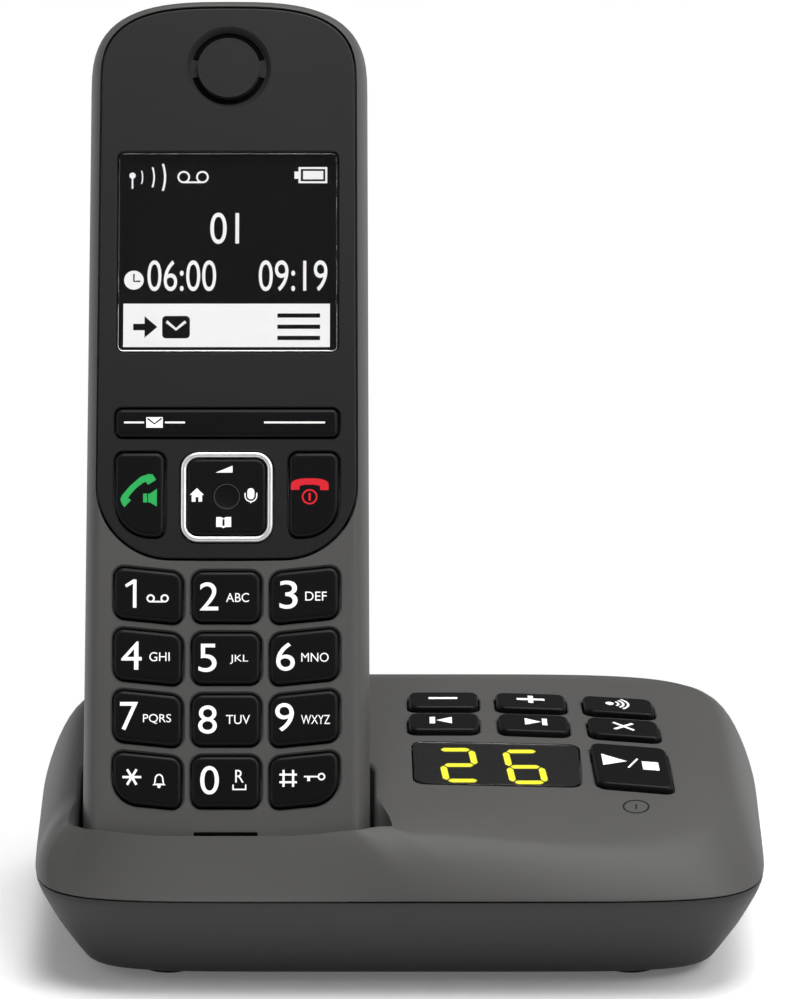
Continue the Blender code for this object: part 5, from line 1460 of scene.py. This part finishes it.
# %% Digits and letters
LEGENDS = {
    "key_2": (("2", (-2.98, 49.7), (3.2, 4.95)), ("ABC", (1.92, 49.5), (3.95, 1.58))),
    "key_3": (("3", (10.68, 50.0), (3.1, 4.95)), ("DEF", (15.40, 49.75), (3.7, 1.58))),
    "key_4": (("4", (-16.24, 39.3), (3.5, 4.95)), ("GHI", (-11.43, 39.1), (3.5, 1.58))),
    "key_5": (("5", (-3.19, 38.9), (3.1, 4.95)), ("JKL", (2.21, 38.65), (3.1, 1.58))),
    "key_6": (("6", (10.19, 39.1), (3.2, 4.95)), ("MNO", (15.25, 39.0), (4.7, 1.58))),
    "key_7": (("7", (-16.60, 28.7), (3.1, 4.95)), ("PQRS", (-11.80, 28.2), (4.8, 1.70))),
    "key_8": (("8", (-3.14, 28.1), (3.2, 4.95)), ("TUV", (2.08, 28.1), (4.1, 1.58))),
    "key_9": (("9", (10.05, 28.5), (3.2, 4.95)), ("WXYZ", (15.36, 28.1), (4.95, 1.58))),
    "key_0": (("0", (-2.75, 17.5), (3.2, 4.95)), ("R", (2.37, 18.2), (1.46, 2.2)))}
star = [strip([(-16.05 - 1.62 * math.cos(turn), 18.05 - 1.55 * math.sin(turn)),
               (-16.05 + 1.62 * math.cos(turn), 18.05 + 1.55 * math.sin(turn))], 0.42)
        for turn in (0.0, math.pi / 3, 2 * math.pi / 3)]
bell = [(-12.52, 16.62), (-12.24, 16.95), (-12.17, 17.5)] + arch((-11.39, 17.65), 0.78, 0.95, 2.0, 12)
bell += [(-10.61, 17.5), (-10.54, 16.95), (-10.26, 16.62)]
hollow = [(-11.39 + (x + 11.39) * 0.66, 16.92 + (y - 16.62) * 0.72) for x, y in bell]
ICONS = {
    "key_1": [rect(-16.05, 47.72, -15.45, 52.67), [[(-16.05, 52.67), (-17.45, 51.75), (-17.2, 51.3), (-16.05, 51.95)]],
              dot((-13.0, 49.35), 0.72, 0.42), dot((-10.6, 49.35), 0.72, 0.42), rect(-13.0, 48.63, -10.6, 48.93)],
    "key_0": [rect(1.16, 15.78, 1.40, 16.75), rect(1.40, 15.78, 3.32, 16.02), rect(3.32, 15.78, 3.56, 16.75)],
    "key_star": star + [[bell, hollow], dot((-11.39, 16.42), 0.30)],
    "key_hash": [rect(9.72, 16.35, 10.10, 19.3), rect(11.36, 16.35, 11.74, 19.3), rect(9.2, 18.30, 12.2, 18.66),
                 rect(9.2, 16.97, 12.2, 17.33), dot((16.40, 18.13), 0.66, 0.38), rect(13.4, 17.99, 15.78, 18.27),
                 rect(13.95, 17.35, 14.45, 17.99)]}
for name in KEYPAD_PLACES:
    print_on(name + "_legend", ICONS.get(name, ()), face_sheet, KEY_PROUD, white_ink, name, LEGENDS.get(name, ()))

# %% [markdown]
# ## Call keys and the four-way key
# The talk key carries a green receiver beside a little loudspeaker, and the end key a red receiver over an
# on and off mark. The four-way key has volume, home, microphone and book pictures round its dimple.

# %% Receivers
RECEIVER = [(-18.31, 66.94), (-17.99, 67.62), (-16.68, 69.19), (-14.85, 70.82), (-13.53, 71.30), (-12.80, 71.25),
            (-12.17, 70.27), (-13.59, 69.38), (-13.93, 69.92), (-14.45, 69.73), (-15.63, 68.78), (-16.68, 67.57),
            (-17.0, 67.08), (-16.5, 66.67), (-17.60, 65.45), (-17.94, 65.80), (-18.31, 66.62)]
talk = [[RECEIVER], rect(-14.40, 66.27, -13.72, 67.84),
        [[(-13.58, 67.84), (-13.22, 67.84), (-12.04, 68.70), (-12.04, 65.53), (-13.22, 66.27), (-13.58, 66.27)]]]
print_on("talk_key_legend", talk, face_sheet, KEY_PROUD, green_ink, "talk_key")
under_crown = [(17.55, 68.45), (16.07, 68.45), (16.07, 69.2), (15.1, 69.41), (13.5, 69.41), (12.53, 69.2),
               (12.53, 68.5), (11.05, 68.5)]
end = [[arch((14.30, 69.30), 3.25, 1.25, 2.6, 16) + under_crown], dot((14.28, 67.27), 1.36, 1.06),
       rect(14.08, 66.6, 14.48, 67.95)]
print_on("end_key_legend", end, face_sheet, KEY_PROUD, red_ink, "end_key")

# %% Four-way key pictures
house = [(-6.40, 67.60), (-5.16, 68.81), (-3.93, 67.60), (-4.25, 67.60), (-4.25, 66.40), (-4.87, 66.40),
         (-4.87, 67.21), (-5.37, 67.21), (-5.37, 66.40), (-6.05, 66.40), (-6.05, 67.60)]
capsule = arc((4.15, 68.20), 0.61, 0.0, math.pi, 12) + arc((4.15, 67.43), 0.61, math.pi, math.tau, 12)
book = [(-1.81, 63.69), (-0.94, 63.69), (-0.55, 63.45), (-0.15, 63.69), (0.77, 63.69), (0.77, 61.93),
        (-0.15, 61.93), (-0.55, 61.71), (-0.94, 61.93), (-1.81, 61.93)]
gutter = [(-0.73, 63.31), (-0.36, 63.31), (-0.36, 62.15), (-0.73, 62.15)]
pictures = [[[(-1.93, 71.55), (0.98, 72.77), (0.98, 71.55)]], [house], [capsule], [book, gutter],
            bow((4.15, 67.43), 1.0, 180.0, 360.0, 0.22), rect(3.04, 67.43, 3.26, 67.97),
            rect(5.04, 67.43, 5.26, 67.97), rect(4.04, 66.15, 4.26, 66.40)]
print_on("nav_pad_legend", pictures, face_sheet, KEY_PROUD, white_ink, "nav_key")

# %% Rocker bar marks
FLAP_LIFT = 0.00001
envelope = [(-13.95, 79.50), (-13.95, 81.38), (-11.10, 81.38), (-11.10, 79.50)]
soft = [rect(-17.79, 80.27, -14.34, 80.60), rect(-10.71, 80.27, -7.26, 80.60), rect(6.37, 80.27, 16.90, 80.60),
        [envelope]]
print_on("softkey_legend", soft, face_sheet, KEY_PROUD, white_ink, "softkey_bar")
print_on("softkey_flap", [strip([(-13.75, 81.15), (-12.53, 80.2), (-11.3, 81.15)], 0.26)], face_sheet,
         KEY_PROUD + FLAP_LIFT, FINISHES["key_black"], "softkey_bar")

# %% [markdown]
# ## Base legends
# The seven base keys carry plain signs for quieter, louder, page, skip, delete, play and stop. They are drawn
# round each key's own middle and laid on its slope, and a dark on and off mark is printed on the shell.

# %% Signs on the base keys
POWER_LIFT = 0.00002
BASE_SIGNS = {
    "volume_down_key": [rect(-2.6, 0.0, 2.45, 0.95)],
    "volume_up_key": [rect(-2.45, 0.05, -0.45, 1.0), rect(-0.45, -1.25, 0.45, 2.3), rect(0.45, 0.05, 2.45, 1.0)],
    "page_key": [dot((-1.5, 0.3), 0.75)] + [bow((-1.2, 0.3), size, -52.0, 52.0, 0.42) for size in (1.25, 2.1, 2.95)],
    "skip_back_key": [rect(-2.45, -1.2, -1.5, 1.8), [[(-1.3, 0.3), (1.45, 1.8), (1.45, -1.2)]]],
    "skip_forward_key": [rect(1.5, -1.2, 2.4, 1.8), [[(1.35, 0.3), (-1.5, 1.8), (-1.5, -1.2)]]],
    "delete_key": [strip([(-1.7, -1.25), (1.7, 1.75)], 0.62), strip([(-1.7, 1.75), (1.7, -1.25)], 0.62)],
    "play_stop_key": [[[(-5.0, 3.5), (-5.0, -0.9), (-0.7, 1.3)]], strip([(-0.7, -1.2), (1.2, 2.6)], 0.34),
                      rect(1.85, -1.45, 4.7, 1.75)]}


def slanted(column, row):
    """A key's sheet with the slant of its row and its column."""
    flat, lean = panel_sheet(column, row), slant(column)
    return lambda u, v, lift: flat(*lean(u, v), lift)


def on_pillow(across, back, lift):
    return in_base(across, back, pillow(across, back) + lift)


for name, shapes in BASE_SIGNS.items():
    print_on(name + "_legend", shapes, slanted(*BASE_KEYS[name][:2]), BASE_KEY_PROUD, white_ink, name)
# The thin grey ring round the four-way key's dimple is a painted highlight on its edge
print_on("nav_dimple_highlight", [dot((0.0, DIMPLE_PLACE / MM), 2.26, 2.12)], face_sheet, KEY_PROUD, dimple_highlight_ink, "nav_key")
power = [dot((40.7, -23.3), 2.35, 2.02), rect(40.55, -24.1, 40.87, -22.5)]
print_on("power_mark", power, on_pillow, POWER_LIFT, dark_ink, "base")

# %% [markdown]
# ## The counter's digits
# Seven short bars make a digit. Each bar is a flat hexagon with pointed ends, so neighbours meet at a thin
# dark gap, and the whole digit leans back a little with the panel.

# %% Seven bars
DIGIT_SIZE, BAR_ACROSS, BAR_UP, LEAN_BACK = (6.7, 13.7), 1.15, 1.40, 0.10
BAR_GAP, UPRIGHT_GAP = 0.22, 0.22 * 1.3
DIGIT_LIFT = -0.00035
BAR_ENDS = {"a": (-1, 1, 1, 1), "b": (1, 1, 1, 0), "c": (1, 0, 1, -1), "d": (1, -1, -1, -1),
            "e": (-1, -1, -1, 0), "f": (-1, 0, -1, 1), "g": (-1, 0, 1, 0)}
BARS = {"2": "abged", "6": "afgedc"}
COUNTER_DIGITS = (("2", (10.3, -7.7)), ("6", (21.8, -8.4)))


def hexagon(start, end, gap, level, tip, half):
    """A bar with pointed ends, as places along it and beside it."""
    low, high = min(start, end) + gap, max(start, end) - gap
    return [(low, level), (low + tip, level + half), (high - tip, level + half), (high, level),
            (high - tip, level - half), (low + tip, level - half)]


def bar_shape(bar):
    """A bar of the digit round its middle: a top, then b and onwards clockwise, and g across the middle."""
    half_u, half_v = (DIGIT_SIZE[0] - BAR_ACROSS) / 2, (DIGIT_SIZE[1] - BAR_UP) / 2
    x0, y0, x1, y1 = [end * half for end, half in zip(BAR_ENDS[bar], (half_u, half_v) * 2)]
    if y0 == y1:
        return hexagon(x0, x1, BAR_GAP, y0, BAR_ACROSS / 2, BAR_UP / 2)
    return [(x, y) for y, x in hexagon(y0, y1, UPRIGHT_GAP, x0, BAR_UP / 2, BAR_ACROSS / 2)]


middle_u, middle_v = [measure / MM for measure in panel_middle(COUNTER_COLUMN, PLAY_ROW)]
shapes = [[[(x - LEAN_BACK * y + centre[0] - middle_u, y + centre[1] - middle_v) for x, y in bar_shape(bar)]]
          for digit, centre in COUNTER_DIGITS for bar in BARS[digit]]
print_on("counter_digits", shapes, counter_sheet, DIGIT_LIFT, lit_yellow, "base")

# %% [markdown]
# ## The display's picture
# A dark display with white pictures: signal, tape, battery and clock marks, two times, and a white bar with
# the dark marks of the rocker below it. It lies on the display, under the clear window, and gives its own light.

# %% Display picture
LCD_LIFT, LCD_STEP = -0.0018, 0.00002
signal = [dot((-16.65, 125.05), 0.55), rect(-16.80, 122.7, -16.50, 124.7)]
signal += [bow((-18.6, 124.75), size, -18.5, 18.5, thick) for size, thick in ((3.7, 0.22), (5.7, 0.30), (7.6, 0.38))]
tape = [dot((-7.75, 124.8), 1.1, 0.78), dot((-4.5, 124.8), 1.1, 0.78), rect(-7.75, 123.7, -4.5, 124.02)]
battery = [rect(12.2, 123.7, 17.2, 126.6) + rect(12.6, 124.05, 16.85, 126.25),
           rect(11.5, 124.5, 12.2, 125.8), rect(13.0, 124.4, 16.5, 125.9)]
bar = rect(-18.1, 94.35, 17.7, 102.1)
times = (("06:00", (-8.0, 107.1), (11.9, 5.5)), ("09:19", (11.3, 107.1), (11.9, 5.5)),
         ("01", (-0.6, 115.6), (5.0, 5.6)))
print_on("display_picture", signal + tape + battery + [dot((-16.3, 106.3), 1.7), bar], face_sheet, LCD_LIFT,
         lit_white, "handset", times)
arrow = [(-16.38, 97.35), (-14.4, 97.35), (-14.4, 96.0), (-12.2, 97.93), (-14.4, 99.86), (-14.4, 98.5),
         (-16.38, 98.5)]
note = rounded(4.8, 4.0, 0.7, (-8.95, 97.9))(0.0)
clock_hands = strip([(-16.3, 107.4), (-16.3, 106.1), (-15.2, 106.1)], 0.3)
marks = [[arrow], [note], rect(8.6, 99.6, 16.0, 100.35), rect(8.6, 97.6, 16.0, 98.35), rect(8.6, 95.6, 16.0, 96.35),
         clock_hands]
print_on("display_marks", marks, face_sheet, LCD_LIFT + LCD_STEP, FINISHES["display_black"], "handset")
print_on("display_note_flap", [strip([(-10.6, 98.9), (-8.95, 97.5), (-7.3, 98.9)], 0.5)], face_sheet,
         LCD_LIFT + 2 * LCD_STEP, lit_white, "handset")


# %% [markdown]
# ## The table and the lamps
# The telephone stands on white paper that runs away behind it. With distance the paper fades to pure white for
# the camera, for mirrors and for clear parts, but near the base it still takes the shadow. Three soft lamps
# light the object: a wide one above and a little to the right, a strip high at the right front for the long
# soft highlight down the shells, and a weak fill at the left.

# %% World
AMBIENT = 0.20
WHITE = (1.0, 1.0, 1.0, 1.0)


def ray_kinds(tree, *kinds):
    """One for rays of those kinds, nothing for the others."""
    found = sum((add_node(tree, "LightPath", {}, f"Is {kind} Ray") for kind in kinds), 0.0)
    return found.maths("MINIMUM", found, 1.0)


world = bpy.data.worlds.new("studio")
bpy.context.scene.world = world
world.use_nodes = True
tree = world.node_tree
towards = add_node(tree, "TexCoord", {}, "Generated")
across, back = [add_node(tree, "SeparateXYZ", {0: towards}, axis) for axis in "XY"]
sides = across.maths("ABSOLUTE", across, 0.0)
room = slope(tree, sides, 0.35, 0.85, 0.80) + slope(tree, back, 0.2, 0.9, 0.05) + 0.10
glossy, camera_ray = ray_kinds(tree, "Glossy"), ray_kinds(tree, "Camera")
strength = camera_ray + (1.0 - camera_ray) * (glossy * room + (1.0 - glossy) * AMBIENT)
fill(tree, tree.nodes["Background"].inputs["Strength"], strength)
fill(tree, tree.nodes["Background"].inputs["Color"], WHITE)
print("world ready")

# %% Paper
PAPER_SIZE, PAPER_GREY, PAPER_GLOW = 8.0, 0.62, 0.12
SHADOW_HALVES, FADE_START, FADE_END = (("X", 0.063), ("Y", 0.052)), 1.10, 1.65
release()
bpy.ops.mesh.primitive_plane_add(size=PAPER_SIZE)
paper = named(bpy.context.object, "paper")
finish = Finish("paper", (PAPER_GREY,) * 3, 1.0, Specular_IOR_Level=0.0)
tree = finish.tree
seen = add_node(tree, "BsdfDiffuse", {"Color": (1.05, 1.05, 1.05, 1.0)})
white = add_node(tree, "Emission", {"Strength": 1.0})
glow = add_node(tree, "Emission", {"Strength": PAPER_GLOW})
both = add_node(tree, "AddShader", {0: seen, 1: glow})
across, back = [add_node(tree, "SeparateXYZ", {0: finish.place()}, axis) * (1 / half) for axis, half in SHADOW_HALVES]
square = across * across + back * back
away = square.maths("POWER", square, 0.5)
pale = add_node(tree, "MixShader", {0: slope(tree, away, FADE_START, FADE_END), 1: both, 2: white})
plain = Wire(tree, finish.shader.outputs[0])
table = add_node(tree, "MixShader", {0: ray_kinds(tree, "Camera", "Glossy", "Transmission"), 1: plain, 2: pale})
fill(tree, tree.nodes["Material Output"].inputs["Surface"], table)
paper.data.materials.append(finish.material)
print("paper ready")


# %% Lamps
def lamp(name, place, aim, size, power):
    bpy.ops.object.light_add(type="AREA", location=place)
    made = bpy.context.object
    made.name = name
    made.data.shape, made.data.size, made.data.size_y = "RECTANGLE", size[0], size[1]
    made.data.energy = power
    made.rotation_euler = (Vector(aim) - Vector(place)).to_track_quat("-Z", "Y").to_euler()


release()
lamp("top lamp", (0.15, -0.05, 1.25), (0.0, 0.0, 0.04), (1.1, 0.7), 16.0)
lamp("right lamp", (0.75, -0.45, 0.90), (0.02, 0.0, 0.05), (0.35, 0.6), 5.0)
lamp("left lamp", (-1.1, -0.2, 0.5), (-0.02, 0.0, 0.06), (0.3, 0.9), 1.0)
print("lamps ready")
